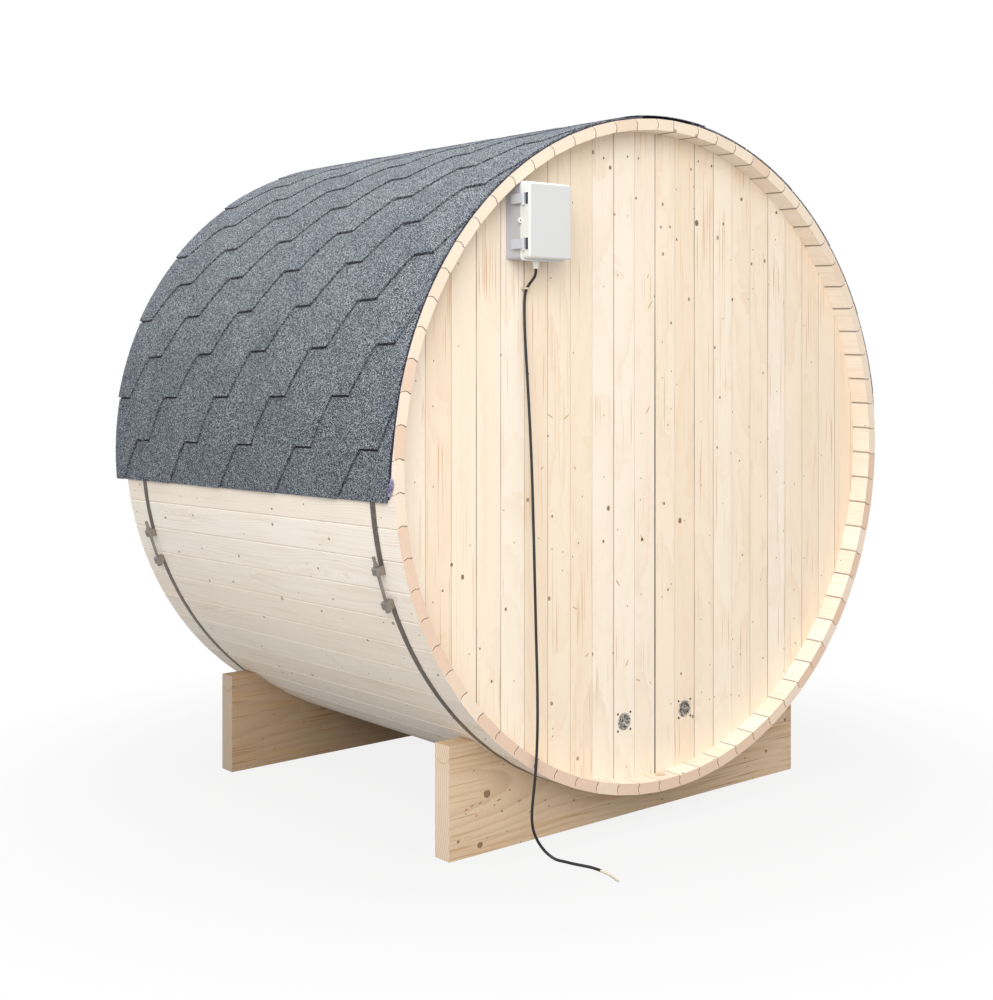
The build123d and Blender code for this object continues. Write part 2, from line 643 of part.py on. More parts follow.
def all_nodes():
    """Every piece by name, in barrel coordinates."""
    nodes = dict(stave_segments())
    nodes["rear_wall"] = rear_wall()
    nodes.update(front_walls())
    nodes["front_door"] = front_door()
    nodes["door_frame"] = door_frame()
    nodes["door_hinges"] = door_hinges()
    nodes["door_handle"] = door_handle()
    for name, x in zip(("vent_left", "vent_right"), VENT_X):
        nodes[name] = vent(x)
    nodes["drain_plug"] = drain_plug()
    for place, number in (("near", 0), ("far", 1)):
        y, angles = BAND_Y[number], CLAMP_ANGLES[number]
        nodes[f"cradle_{place}"] = cradle(CRADLE_Y[number])
        nodes[f"band_{place}"] = band(y, *angles)
        nodes[f"clamp_lugs_{place}"] = clamp_lugs(y, *angles)
        nodes[f"clamp_bolts_{place}"] = clamp_bolts(y, *angles)
    nodes["shingles_right"] = shingle_courses(EAVE_RIGHT)
    nodes["shingles_left"] = [course.mirror(Plane.YZ) for course in shingle_courses(EAVE_LEFT)]
    nodes["ridge_strip"] = ridge_strip()
    nodes["box_base"] = box_base()
    nodes["box_lid"] = box_lid()
    nodes["hinge_pin"] = hinge_pin()
    nodes["latch_upper"] = latch(LATCH_Z[0])
    nodes["latch_lower"] = latch(LATCH_Z[1])
    nodes["cable_gland"] = cable_gland()
    nodes["cable_clip"] = cable_clip()
    nodes["power_cable"], nodes["cable_tail"] = cable()
    return nodes


def main():
    """Write each piece, standing on the floor with the middle of the sauna at the origin."""
    os.makedirs("parts", exist_ok=True)
    stand = Location((0, -MID_Y, AXIS_HEIGHT))
    for name, piece in all_nodes().items():
        pieces = piece if isinstance(piece, list) else [piece]
        solids = [solid for item in pieces for solid in item.solids()]
        shape = solids[0] if len(solids) == 1 else Compound(children=solids)
        export_step(stand * shape, f"parts/{name}.step")
        print(name, len(solids))


main()
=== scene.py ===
# %% [markdown]
# An outdoor barrel sauna: jointed spruce staves on two cradles, two steel bands, a shingle roof, and a
# junction box on the recessed wall of the service end. Its solids are packed already, and this script
# dresses them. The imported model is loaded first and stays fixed: every piece made here is in metres and
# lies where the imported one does.

# %% Load the fixed model
import math
import random

import bmesh
import bpy
from mathutils import Euler, Matrix, Vector


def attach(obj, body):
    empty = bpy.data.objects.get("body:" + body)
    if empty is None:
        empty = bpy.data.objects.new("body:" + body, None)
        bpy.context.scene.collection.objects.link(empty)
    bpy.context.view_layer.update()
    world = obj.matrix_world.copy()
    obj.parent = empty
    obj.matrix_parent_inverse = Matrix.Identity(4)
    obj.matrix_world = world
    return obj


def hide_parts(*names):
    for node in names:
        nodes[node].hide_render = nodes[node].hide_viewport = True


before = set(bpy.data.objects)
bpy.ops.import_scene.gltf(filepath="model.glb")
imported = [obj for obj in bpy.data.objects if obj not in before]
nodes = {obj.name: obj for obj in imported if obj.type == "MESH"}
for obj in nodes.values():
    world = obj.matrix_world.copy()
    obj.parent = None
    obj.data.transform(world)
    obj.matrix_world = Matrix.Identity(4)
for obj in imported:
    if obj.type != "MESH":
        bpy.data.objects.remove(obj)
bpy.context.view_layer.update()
random.seed(11)

# %% [markdown]
# The sizes below are the sauna's own. The barrel's axis runs along Y, a little over a metre up. Places on
# the service end could be typed in as metres of the whole model, but a maker measures them from the face
# of the barrel and from its axis. So they are given that way, and one helper turns them into the model's
# frame. A second helper does the same for places round the barrel.

# %% Driving sizes
OUTER_R = 1.0
AXIS_Z = 1.095
NEAR_Y = -0.7785
BARREL_LEN = 1.535
BOARD_PITCH = 0.0858
BOARD_OFFSET = 0.008
STAVE_DEG = 5.0
STAVE_COUNT = 72
FIRST_JOINT_DEG = 3.0
CRADLE_SEAM_Z = 0.2459


def place(x, y, z):
    """A point given in millimetres from the service-end face and the barrel's axis."""
    return Vector((x / 1000, NEAR_Y + y / 1000, AXIS_Z + z / 1000))


def around(radius, degrees, y):
    """A point on the barrel: radius in metres, degrees from the right, metres from the near face."""
    turn = math.radians(degrees)
    return Vector((radius * math.cos(turn), NEAR_Y + y, AXIS_Z + radius * math.sin(turn)))


print("barrel", 2 * OUTER_R, "m across and", BARREL_LEN, "m long")

# %% [markdown]
# The camera stands to the left of the service end, a little above the axis, and looks level across the
# corner. A closer camera with a wide lens would spread the near rim too much. The lens is long, and its
# small shifts only crop the frame as the photograph does, so the upright boards stay upright.

# %% Camera
camera_data = bpy.data.cameras.new("camera")
camera = bpy.data.objects.new("camera", camera_data)
bpy.context.scene.collection.objects.link(camera)
camera.location = place(-3262.6, -3217.0, 312.3)
camera.rotation_euler = Euler((math.radians(90 - 0.15), 0, math.radians(-41.05)))
camera_data.sensor_width = 36
camera_data.lens = 55.07
camera_data.shift_x = -0.056
camera_data.shift_y = -0.1456
camera_data.clip_end = 200
bpy.context.scene.camera = camera
bpy.context.scene.view_settings.view_transform = "Standard"
print("camera at", tuple(round(part, 3) for part in camera.location), "with a lens of", camera_data.lens)

# %% [markdown]
# Every finish is a small tree of shader nodes. The nodes could be wired one by one, with four lines for
# each. Instead one function adds a node with its settings and its inputs, and hands back the output that
# the next node needs. Colours are written as a painter's hex codes, and one function turns them into the
# linear values that the shaders use.

# %% Shader helpers
def linear(code):
    """An sRGB hex colour as the linear colour that the shaders use."""
    channels = []
    for start in (0, 2, 4):
        value = int(code[start:start + 2], 16) / 255
        channels.append(value / 12.92 if value <= 0.04045 else ((value + 0.055) / 1.055) ** 2.4)
    return (*channels, 1.0)


def add(tree, kind, inputs=(), out=0, **settings):
    """Adds a shader node, its inputs in order or by name, and gives one output, or all when out is None."""
    made = tree.nodes.new("ShaderNode" + kind)
    for name, value in settings.items():
        setattr(made, name, value)
    for name, value in (inputs.items() if isinstance(inputs, dict) else enumerate(inputs)):
        if isinstance(value, bpy.types.NodeSocket):
            tree.links.new(value, made.inputs[name])
        else:
            made.inputs[name].default_value = linear(value) if isinstance(value, str) else value
    return made.outputs if out is None else made.outputs[out]


def new_material(name):
    """An empty node material and its tree."""
    made = bpy.data.materials.new(name)
    made.use_nodes = True
    made.node_tree.nodes.clear()
    return made, made.node_tree


def layered(tree, colour, layers):
    """A base colour with further colours laid over it, each where its mask, times a strength, says."""
    for mask, strength, over in layers:
        amount = add(tree, "Math", [mask, strength], operation="MULTIPLY")
        colour = add(tree, "Mix", {0: amount, 6: colour, 7: over}, out=2, data_type="RGBA")
    return colour


def surface(tree, colour, roughness, relief, depth, metal=0.0, gloss=0.5):
    """The surface itself: its colour, its roughness and a fine relief with a depth in metres."""
    normal = add(tree, "Bump", {"Strength": 1.0, "Distance": depth, "Height": relief})
    inputs = {"Base Color": colour, "Roughness": roughness, "Metallic": metal, "Normal": normal}
    if metal == 0.0:
        inputs["Specular IOR Level"] = gloss
    skin = add(tree, "BsdfPrincipled", inputs)
    add(tree, "OutputMaterial", [skin], out=None)


def paint(obj, *finishes):
    """Gives an object these finishes and no others."""
    obj.data.materials.clear()
    for made in finishes:
        obj.data.materials.append(made)


print("mid grey, linear", round(linear("808080")[0], 3))

# %% [markdown]
# A soft studio. A picture of a real sky would light the sauna too, but it would tint the pale wood. So an
# even white world fills the shadows, one broad lamp high on the left models the round of the barrel, and
# one straight above lights the roof. A ray from the camera, a gloss ray or a ray through glass sees the
# world as plain white, so the background is white without more light on the object.

# %% World and lamps
WORLD_STRENGTH = 0.80
world = bpy.data.worlds.new("studio")
world.use_nodes = True
tree = world.node_tree
tree.nodes.clear()
path = add(tree, "LightPath", out=None)
seen = add(tree, "Math", [path["Is Camera Ray"], path["Is Glossy Ray"]], operation="MAXIMUM")
seen = add(tree, "Math", [seen, path["Is Transmission Ray"]], operation="MAXIMUM")
level = add(tree, "MapRange", [seen, 0.0, 1.0, WORLD_STRENGTH, 1.0])
sky = add(tree, "Background", ["FFFFFF", level])
add(tree, "OutputWorld", [sky], out=None)
bpy.context.scene.world = world


def lamp(name, spot, target, size, power):
    """A square lamp at a spot, turned to face a target."""
    data = bpy.data.lights.new(name, "AREA")
    data.size = size
    data.energy = power
    made = bpy.data.objects.new(name, data)
    bpy.context.scene.collection.objects.link(made)
    made.location = spot
    made.rotation_euler = (Vector(target) - Vector(spot)).to_track_quat("-Z", "Y").to_euler()
    print(name, power, "W")


MIDDLE = (0, 0, AXIS_Z)
lamp("key_lamp", (-4.2, -4.4, 4.1), MIDDLE, 5.0, 300)
lamp("top_lamp", (-0.8, -0.2, 6.0), MIDDLE, 3.0, 180)

# %% [markdown]
# The floor is pale matt paint. A white backdrop that curves up behind would do as well, but it would need
# room on every side. This floor is nearly as bright as the white world, so that only the soft shadow
# under the sauna shows, and it fades into the world with distance, which hides its edge.

# %% Floor
FLOOR_HALF = 30.0
FADE_FROM, FADE_TO = 1.1, 2.2
NEAR_GLOW = 0.86
bpy.ops.object.select_all(action="DESELECT")
bpy.ops.mesh.primitive_plane_add(size=2 * FLOOR_HALF, location=(0, 0, 0))
floor = bpy.context.object
floor.name = "studio_floor"
floor_paint, tree = new_material("matt_white_floor_paint")
reach = add(tree, "VectorMath", [add(tree, "TexCoord", out="Object")], out="Value", operation="LENGTH")
fade = add(tree, "MapRange", [reach, FADE_FROM, FADE_TO, NEAR_GLOW, 1.0], interpolation_type="SMOOTHSTEP")
share = add(tree, "Math", [fade, add(tree, "LightPath", out="Is Camera Ray")], operation="MULTIPLY")
matt = add(tree, "BsdfDiffuse", ["A8A8A8"])
glow = add(tree, "Emission", ["FFFFFF", 1.0])
add(tree, "OutputMaterial", [add(tree, "MixShader", [share, matt, glow])], out=None)
paint(floor, floor_paint)
print("floor", 2 * FLOOR_HALF, "m across")

# %% [markdown]
# Spruce boards are sawn from logs, so each has its own tint and its own slice of growth rings. Boards in
# the wall stand upright, the staves run along the barrel, and the cradles lie across it. Photographed
# wood could be wrapped round each board, but the finish has to work at any size. So every board first
# gets its own directions and number: across it, along it, into it, and which board it is.

# %% Directions of the boards
def board_axes_wall(tree):
    """Across, along, deep and number of the upright wall boards."""
    x, y, z = add(tree, "SeparateXYZ", [add(tree, "TexCoord", out="Object")], out=None)
    spread = add(tree, "Math", [x, BOARD_OFFSET], operation="SUBTRACT")
    spread = add(tree, "Math", [spread, BOARD_PITCH], operation="DIVIDE")
    middle = add(tree, "Math", [add(tree, "Math", [spread], operation="FRACT"), 0.5], operation="SUBTRACT")
    across = add(tree, "Math", [middle, BOARD_PITCH], operation="MULTIPLY")
    return across, z, y, add(tree, "Math", [spread], operation="FLOOR")


def board_axes_stave(tree):
    """Across, along, deep and number of the staves, whose numbers and angles lie on their points."""
    along = add(tree, "SeparateXYZ", [add(tree, "TexCoord", out="Object")], out=1)
    across, deep, number = [add(tree, "Attribute", out="Fac", attribute_name=name)
                            for name in ("across", "deep", "board")]
    return across, along, deep, number


def board_axes_cradle(tree):
    """Across, along, deep and number of the cradle boards, with a seam near the top."""
    x, y, z = add(tree, "SeparateXYZ", [add(tree, "TexCoord", out="Object")], out=None)
    upper = add(tree, "Math", [z, CRADLE_SEAM_Z], operation="GREATER_THAN")
    far = add(tree, "Math", [y, 0.0], operation="GREATER_THAN")
    number = add(tree, "Math", [far, 2.0, upper], operation="MULTIPLY_ADD")
    return add(tree, "Math", [z, 0.14], operation="SUBTRACT"), x, y, number


def board_axes_rail(tree):
    """Across, along, deep and number of a single upright wooden piece."""
    x, y, z = add(tree, "SeparateXYZ", [add(tree, "TexCoord", out="Object")], out=None)
    number = add(tree, "Math", [add(tree, "Math", [x, 3.0], operation="MULTIPLY")], operation="FLOOR")
    return x, z, y, number


print("wall boards", BOARD_PITCH, "m wide, staves", STAVE_DEG, "degrees")

# %% [markdown]
# A log is a cone of rings round its pith. The rings could be drawn as wavy stripes, but a board cut from
# a real log shows long flames and straight lines, which come from the cut. So the pattern is the log
# itself: the distance from a pith that wanders slowly beside the board. Knots are branches, small ovals
# with a dark bark rim, and they push the rings aside. The counts below are for one metre.

# %% Rings and knots
# Fibres of 1.1 mm, clouds of 17 mm, resin threads of 4.8 mm, ripples of 45 mm, ragged knot edges of
# 5.6 mm, end-grain pores of 2 mm, and pin specks about 38 mm apart. Real fibres and pores are far finer:
# both are drawn coarser than they are, so that they show at this size.
FIBRES, CLOUDS, THREADS, RIPPLES, RAGS, PORES, SPECKS = 900.0, 60.0, 210.0, 22.0, 180.0, 500.0, 26.0
LOG_SPREAD = (37.0, 9.0)
PITH_SPREAD = 0.10
PITH_DEPTH = (0.012, 0.07, 0.05)
SMALLEST_KNOT_R = 0.0012


def log_slice(tree, axes, seed):
    """A board's own place in its log: points to read patterns at, and three chance numbers."""
    across, along, deep, number = axes(tree)
    seeded = add(tree, "Math", [number, seed], operation="ADD")
    luck = add(tree, "TexWhiteNoise", {"W": seeded}, out="Color", noise_dimensions="1D")
    chance = add(tree, "SeparateColor", [luck], out=None)
    wide = add(tree, "Math", [chance[1], LOG_SPREAD[1], across], operation="MULTIPLY_ADD")
    shift = add(tree, "Math", [chance[0], LOG_SPREAD[0], along], operation="MULTIPLY_ADD")
    return {"across": across, "deep": deep, "chance": chance, "wide": wide, "shift": shift,
            "spot": add(tree, "CombineXYZ", [wide, shift, deep]),
            "slow": add(tree, "CombineXYZ", [chance[2], shift, chance[1]])}


def knot_marks(tree, board, look):
    """The core and rim of each knot, and how far it pushes the growth rings aside."""
    oval = add(tree, "VectorMath", [board["spot"], (1.0, 0.8, 1.0)], operation="MULTIPLY")
    cells = add(tree, "TexVoronoi", {"Vector": oval, "Scale": look["knot_scale"]}, out=None,
                voronoi_dimensions="2D", feature="F1")
    away = add(tree, "Math", [cells["Distance"], look["knot_scale"]], operation="DIVIDE")
    ragged = add(tree, "TexNoise", {"Vector": board["spot"], "Scale": RAGS})
    ragged = add(tree, "Math", [ragged, 0.5], operation="SUBTRACT")
    away = add(tree, "Math", [ragged, 0.003, away], operation="MULTIPLY_ADD")
    luck = add(tree, "SeparateColor", [cells["Color"]], out=None)
    radius = add(tree, "Math", [luck[1], look["knot_large"], SMALLEST_KNOT_R], operation="MULTIPLY_ADD")
    there = add(tree, "Math", [luck[0], look["knot_share"]], operation="LESS_THAN")
    outside = add(tree, "Math", [away, radius], operation="SUBTRACT")
    edge = add(tree, "Math", [outside], operation="ABSOLUTE")
    parts = []
    for distance, none, full in ((outside, 0.0008, -0.0006), (edge, 0.0016, 0.0004), (away, 0.030, 0.0)):
        part = add(tree, "MapRange", [distance, none, full], interpolation_type="SMOOTHSTEP")
        parts.append(add(tree, "Math", [part, there], operation="MULTIPLY"))
    return parts


def growth_rings(tree, board, look, pushed):
    """The distance in metres from the log's pith, which wanders along the board."""
    drift = look["drift"]
    wander = add(tree, "TexNoise", {"Vector": board["slow"], "Scale": 1.1, "Detail": 1.0})
    sideways = add(tree, "Math", [board["chance"][0], PITH_SPREAD, board["across"]], operation="MULTIPLY_ADD")
    sideways = add(tree, "Math", [wander, -drift, sideways], operation="MULTIPLY_ADD")
    sideways = add(tree, "Math", [sideways, (drift - PITH_SPREAD) / 2], operation="ADD")
    near, spread, sway = PITH_DEPTH
    deeper = add(tree, "TexNoise", {"Vector": board["slow"], "Scale": 0.8, "Detail": 1.0})
    depth = add(tree, "Math", [board["chance"][1], spread, near], operation="MULTIPLY_ADD")
    depth = add(tree, "Math", [deeper, sway, depth], operation="MULTIPLY_ADD")
    depth = add(tree, "Math", [depth, board["deep"]], operation="ADD")
    from_pith = add(tree, "CombineXYZ", [sideways, depth])
    rings = add(tree, "VectorMath", [from_pith], out="Value", operation="LENGTH")
    rings = add(tree, "Math", [pushed, 0.005, rings], operation="MULTIPLY_ADD")
    ripple = add(tree, "TexNoise", {"Vector": board["spot"], "Scale": RIPPLES, "Detail": 3.0})
    return add(tree, "Math", [ripple, look["ripple"], rings], operation="MULTIPLY_ADD")


def late_wood(tree, board, look, rings):
    """The dark part of each ring: it builds up slowly, ends sharply, and is faint in places."""
    tooth = add(tree, "Math", [rings, look["ring_width"]], operation="DIVIDE")
    tooth = add(tree, "Math", [tooth], operation="FRACT")
    late = add(tree, "Math", [tooth, 2.2], operation="POWER")
    sharp = add(tree, "MapRange", [tooth, 1.0, 0.90], interpolation_type="SMOOTHSTEP")
    faint = add(tree, "TexNoise", {"Vector": board["slow"], "Scale": 2.6})
    faint = add(tree, "MapRange", [faint, 0.30, 0.75, 0.25, 1.0], interpolation_type="SMOOTHSTEP")
    late = add(tree, "Math", [late, sharp], operation="MULTIPLY")
    return add(tree, "Math", [late, faint], operation="MULTIPLY")


print("fibres", round(1000 / FIBRES, 1), "mm, ripples", round(1000 / RIPPLES), "mm")

# %% [markdown]
# Over the rings lie fine fibres, soft clouds of colour, thin orange threads of resin and tiny dark
# specks. One picture of all of them would repeat from board to board. Separate masks, each read at its
# own stretch along the board, never do. The ends of boards show the pores and the rings as arcs, some
# paler and some pinker, and more of them pink towards the bottom.

# %% Colours on the face and on the ends
def face_masks(tree, board, look):
    """How much of fibre, cloud, resin thread and pin speck there is at each point of a board."""
    stretched = []
    for share, deep in ((0.045, board["deep"]), (0.012, 0.0)):
        along = add(tree, "Math", [board["shift"], share], operation="MULTIPLY")
        stretched.append(add(tree, "CombineXYZ", [board["wide"], along, deep]))
    long, longest = stretched
    fibre = add(tree, "TexNoise", {"Vector": long, "Scale": FIBRES, "Detail": 3.0, "Roughness": 0.6})
    fibres = add(tree, "MapRange", [fibre, 0.55, 0.80], interpolation_type="SMOOTHSTEP")
    cloud = add(tree, "TexNoise", {"Vector": long, "Scale": CLOUDS, "Detail": 3.0})
    cloud = add(tree, "MapRange", [cloud, 0.50, 0.75], interpolation_type="SMOOTHSTEP")
    thread = add(tree, "TexNoise", {"Vector": longest, "Scale": THREADS, "Detail": 1.0})
    thread = add(tree, "MapRange", [thread, 0.60, 0.72], interpolation_type="SMOOTHSTEP")
    patch = add(tree, "TexNoise", {"Vector": board["slow"], "Scale": 3.0, "Detail": 1.0})
    patch = add(tree, "MapRange", [patch, 0.44, 0.58], interpolation_type="SMOOTHSTEP")
    thread = add(tree, "Math", [thread, patch], operation="MULTIPLY")
    slit = add(tree, "VectorMath", [board["spot"], (1.0, 0.55, 1.0)], operation="MULTIPLY")
    cells = add(tree, "TexVoronoi", {"Vector": slit, "Scale": SPECKS}, out=None, voronoi_dimensions="2D",
                feature="F1")
    luck = add(tree, "SeparateColor", [cells["Color"]])
    luck = add(tree, "Math", [luck, look["speck_share"]], operation="LESS_THAN")
    speck = add(tree, "MapRange", [cells["Distance"], 0.050, 0.030], interpolation_type="SMOOTHSTEP")
    return fibre, fibres, cloud, thread, add(tree, "Math", [speck, luck], operation="MULTIPLY")


def end_tone(tree, board, look, rings):
    """The colour of a sawn end: pale or pink by chance and by height, with rings and pores."""
    height = add(tree, "SeparateXYZ", [add(tree, "TexCoord", out="Object")], out=2)
    pinker_low = add(tree, "MapRange", [height, 1.50, 0.10, 0.0, 0.45], interpolation_type="SMOOTHSTEP")
    pink = add(tree, "Math", [board["chance"][1], 0.6, pinker_low], operation="MULTIPLY_ADD")
    pink = add(tree, "MapRange", [pink, 0.40, 0.65], interpolation_type="SMOOTHSTEP")
    arcs = add(tree, "Math", [rings, look["end_ring"]], operation="DIVIDE")
    arcs = add(tree, "Math", [arcs], operation="FRACT")
    pores = add(tree, "TexNoise", {"Vector": board["spot"], "Scale": PORES})
    pores = add(tree, "MapRange", [pores, 0.5, 0.8], interpolation_type="SMOOTHSTEP")
    return layered(tree, look["end_pale"], [(pink, 1.0, look["end_warm"]),
                                            (arcs, look["end_grain"], look["late"]),
                                            (pores, 0.35, look["end_dark"])])


def grown_wood(name, axes, grain, look, seam=None):
    """Sawn spruce. grain is the axis that the boards run along, look its colours and strengths."""
    made, tree = new_material(name)
    board = log_slice(tree, axes, look["seed"])
    core, rim, pushed = knot_marks(tree, board, look)
    rings = growth_rings(tree, board, look, pushed)
    late = late_wood(tree, board, look, rings)
    fibre, fibres, cloud, thread, speck = face_masks(tree, board, look)
    face = layered(tree, look["pale"], [(board["chance"][2], 1.0, look["warm"]),
                                        (late, look["grain"], look["late"]),
                                        (fibres, look["fibre"], look["late"]),
                                        (cloud, look["cloud"], look["cloudy"]),
                                        (thread, look["streak"], look["resin"]),
                                        (speck, 0.85, look["knot_rim"]),
                                        (core, 0.85, look["knot"]),
                                        (rim, 0.70, look["knot_rim"])])
    facing = add(tree, "SeparateXYZ", [add(tree, "TexCoord", out="Normal")], out=grain)
    facing = add(tree, "Math", [facing], operation="ABSOLUTE")
    end = add(tree, "MapRange", [facing, 0.6, 0.8], interpolation_type="SMOOTHSTEP")
    body = layered(tree, face, [(end, 1.0, end_tone(tree, board, look, rings))])
    # The inner faces of the staves get a slight warm painted shade.
    if "inside" in look:
        inner = add(tree, "MapRange", [board["deep"], 0.010, 0.030], interpolation_type="SMOOTHSTEP")
        inner = add(tree, "Math", [inner, add(tree, "Math", [1.0, end], operation="SUBTRACT")],
                    operation="MULTIPLY")
        inner_painted_shade = add(tree, "Mix", {0: 1.0, 6: body, 7: look["inside"]}, out=2, data_type="RGBA",
                     blend_type="MULTIPLY")
        body = layered(tree, body, [(inner, 1.0, inner_painted_shade)])
    if seam is not None:
        edge, amount = seam(tree)
        body = layered(tree, body, [(edge, amount, look["seam"])])
    relief = add(tree, "Math", [late, 0.5], operation="MULTIPLY")
    relief = add(tree, "Math", [fibre, 0.4, relief], operation="MULTIPLY_ADD")
    surface(tree, body, 0.62, relief, 0.00015, gloss=0.35)
    print(name, len(tree.nodes), "nodes")
    return made


print("pores", round(1000 / PORES, 1), "mm")


# %% [markdown]
# The joints between boards are narrow shadow lines. Cutting each one as a groove would show the same
# line at this size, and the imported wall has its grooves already. The finish only adds the dust and
# shadow in them: each joint has its own darkness, and two in the middle are open and darkest. On the
# inner faces of the staves the open joints are drawn in the same way.

# %% Joints between boards
OPEN_JOINT, HALF_OPEN_JOINT = 0, -2


def wall_seams(tree):
    """How near a joint between boards is, and how dark that joint is."""
    x, _, z = add(tree, "SeparateXYZ", [add(tree, "TexCoord", out="Object")], out=None)
    spread = add(tree, "Math", [x, BOARD_OFFSET], operation="SUBTRACT")
    spread = add(tree, "Math", [spread, BOARD_PITCH], operation="DIVIDE")
    joint = add(tree, "Math", [spread], operation="ROUND")
    off = add(tree, "Math", [spread, joint], operation="SUBTRACT")
    off = add(tree, "Math", [off], operation="ABSOLUTE")
    off = add(tree, "Math", [off, BOARD_PITCH], operation="MULTIPLY")
    chance = add(tree, "TexWhiteNoise", {"W": joint}, noise_dimensions="1D")
    chance = add(tree, "Math", [chance, 2.0], operation="POWER")
    patchy = add(tree, "TexNoise", {"Vector": add(tree, "CombineXYZ", {0: joint, 2: z}), "Scale": 3.0})
    patchy = add(tree, "MapRange", [patchy, 0.4, 0.6, 0.5, 1.0], interpolation_type="SMOOTHSTEP")
    amount = add(tree, "Math", [chance, patchy], operation="MULTIPLY")
    amount = add(tree, "Math", [amount, 0.65, 0.18], operation="MULTIPLY_ADD")
    middle, second = [add(tree, "Math", [joint, number, 0.5], operation="COMPARE")
                      for number in (OPEN_JOINT, HALF_OPEN_JOINT)]
    upper = add(tree, "MapRange", [z, 1.75, 1.15, 0.45, 1.0], interpolation_type="SMOOTHSTEP")
    middle = add(tree, "Math", [middle, upper], operation="MULTIPLY")
    second = add(tree, "Math", [second, 0.6], operation="MULTIPLY")
    amount = add(tree, "Math", [amount, middle], operation="MAXIMUM")
    amount = add(tree, "Math", [amount, second], operation="MAXIMUM")
    off = add(tree, "Math", [middle, -0.0008, off], operation="MULTIPLY_ADD")
    return add(tree, "MapRange", [off, 0.0021, 0.0010], interpolation_type="SMOOTHSTEP"), amount


def stave_seams(tree):
    """The open joints between the staves, seen dark on their inner faces."""
    across, _, deep, _ = board_axes_stave(tree)
    across = add(tree, "Math", [across], operation="ABSOLUTE")
    edge = add(tree, "MapRange", [across, 0.0418, 0.0431], interpolation_type="SMOOTHSTEP")
    return edge, add(tree, "MapRange", [deep, 0.020, 0.030, 0.0, 0.6], interpolation_type="SMOOTHSTEP")


print("open joint at", BOARD_OFFSET, "m from the middle")

# %% [markdown]
# The same log pattern makes all the wood. Five separate materials could be built from nothing, but the
# boards differ only in colours and strengths, so each is one look: a list of values that starts from the
# wall's and changes what differs. The staves are planed almost white, the near cradle is a darker and
# knottier timber, the far one is painted darker and greyer as shade under the barrel, and the handle is
# clear sanded wood.

# %% Looks of the spruce
# Planed spruce: cream, satin, with soft amber flames and few small knots.
WALL_LOOK = {
    "seed": 3.7, "pale": "F8EBD9", "warm": "F3DFC6", "late": "D8AC80", "grain": 0.26, "fibre": 0.30,
    "cloud": 0.20, "cloudy": "F0D9BC", "streak": 0.70, "resin": "C9935F", "ring_width": 0.0046,
    "ripple": 0.004, "drift": 0.22, "knot": "A98A6A", "knot_rim": "523C2A", "knot_scale": 8.5,
    "knot_large": 0.0030, "knot_share": 0.22, "speck_share": 0.11, "end_grain": 0.20, "end_ring": 0.0032,
    "end_pale": "F1DDC6", "end_warm": "E4C4AA", "end_dark": "C79F7C", "seam": "3E2C1F",
}
# Planed staves: paler, nearly white in the light, with a slight warm painted shade on their inner faces.
STAVE_LOOK = dict(
    WALL_LOOK, seed=11.3, pale="FCF6EC", warm="F5EADB", late="C8AA8A", knot="9C8068", knot_rim="4A372A",
    knot_scale=9.0, knot_share=0.40, streak=0.2, grain=0.34, cloud=0.26, cloudy="D6C1A6",
    inside="FAF5F0", end_pale="F3E2CE", end_warm="E6C9B2")
# Rough planed cradle timber: tan, with strong straight grain, resin and pitch specks.
CRADLE_LOOK = dict(
    WALL_LOOK, seed=5.9, pale="DEC5A6", warm="D2B795", late="A97F57", grain=0.45, cloud=0.6,
    cloudy="C39A6B", knot="94704C", knot_rim="573A24", knot_scale=7.5, knot_share=0.10,
    knot_large=0.005, speck_share=0.26, streak=1.0, ripple=0.0016, drift=0.12, resin="A06834",
    end_grain=0.45, end_ring=0.009, end_pale="F3E4CF", end_warm="ECD9C0", end_dark="C9A882")
# The same timber painted darker, greyer and browner, with fainter grain: painted shade for the far cradle
# under the barrel.
FAR_CRADLE_LOOK = dict(
    CRADLE_LOOK, seed=17.2, pale="BFA687", warm="B2977A", late="8A6A45", grain=0.25,
    end_pale="D0C1AE", end_warm="C7B7A3", end_dark="A58E74")
# Sanded handle wood: the cradle's colours without knots or specks.
HANDLE_LOOK = dict(CRADLE_LOOK, seed=8.1, knot_share=0.0, speck_share=0.0)

planed_spruce = grown_wood("planed_spruce_wall_boards", board_axes_wall, 2, WALL_LOOK, wall_seams)
stave_spruce = grown_wood("planed_spruce_staves", board_axes_stave, 1, STAVE_LOOK, stave_seams)
cradle_spruce = grown_wood("rough_planed_spruce_cradles", board_axes_cradle, 0, CRADLE_LOOK)
far_cradle_shaded_spruce = grown_wood("painted_shade_spruce_far_cradle", board_axes_cradle, 0, FAR_CRADLE_LOOK)
handle_wood = grown_wood("sanded_wood", board_axes_rail, 2, HANDLE_LOOK)

# %% [markdown]
# Metals, plastics and rubber are nearly one colour, but a perfectly even one looks like a toy. A picture
# of scratches would be too fine to see on pieces this small. A slight cloud of a second colour, sized in
# millimetres, and a hint of relief are enough, so one function makes them all from their own values. With
# 30 clouds to the metre they are 33 mm across, with 60 they are 17 mm, and with 300 about 3 mm.

# %% Clouded finishes
def clouded(name, base, other, per_metre, roughness, metal=0.0, amount=0.5):
    """A plain finish with a slight cloud of a second colour, with so many clouds to the metre."""
    made, tree = new_material(name)
    spot = add(tree, "TexCoord", out="Object")
    cloud = add(tree, "TexNoise", {"Vector": spot, "Scale": per_metre, "Detail": 3.0})
    cloud = add(tree, "MapRange", [cloud, 0.35, 0.7], interpolation_type="SMOOTHSTEP")
    colour = layered(tree, base, [(cloud, amount, other)])
    relief = add(tree, "TexNoise", {"Vector": spot, "Scale": 8 * per_metre})
    surface(tree, colour, roughness, relief, 0.00005, metal)
    return made


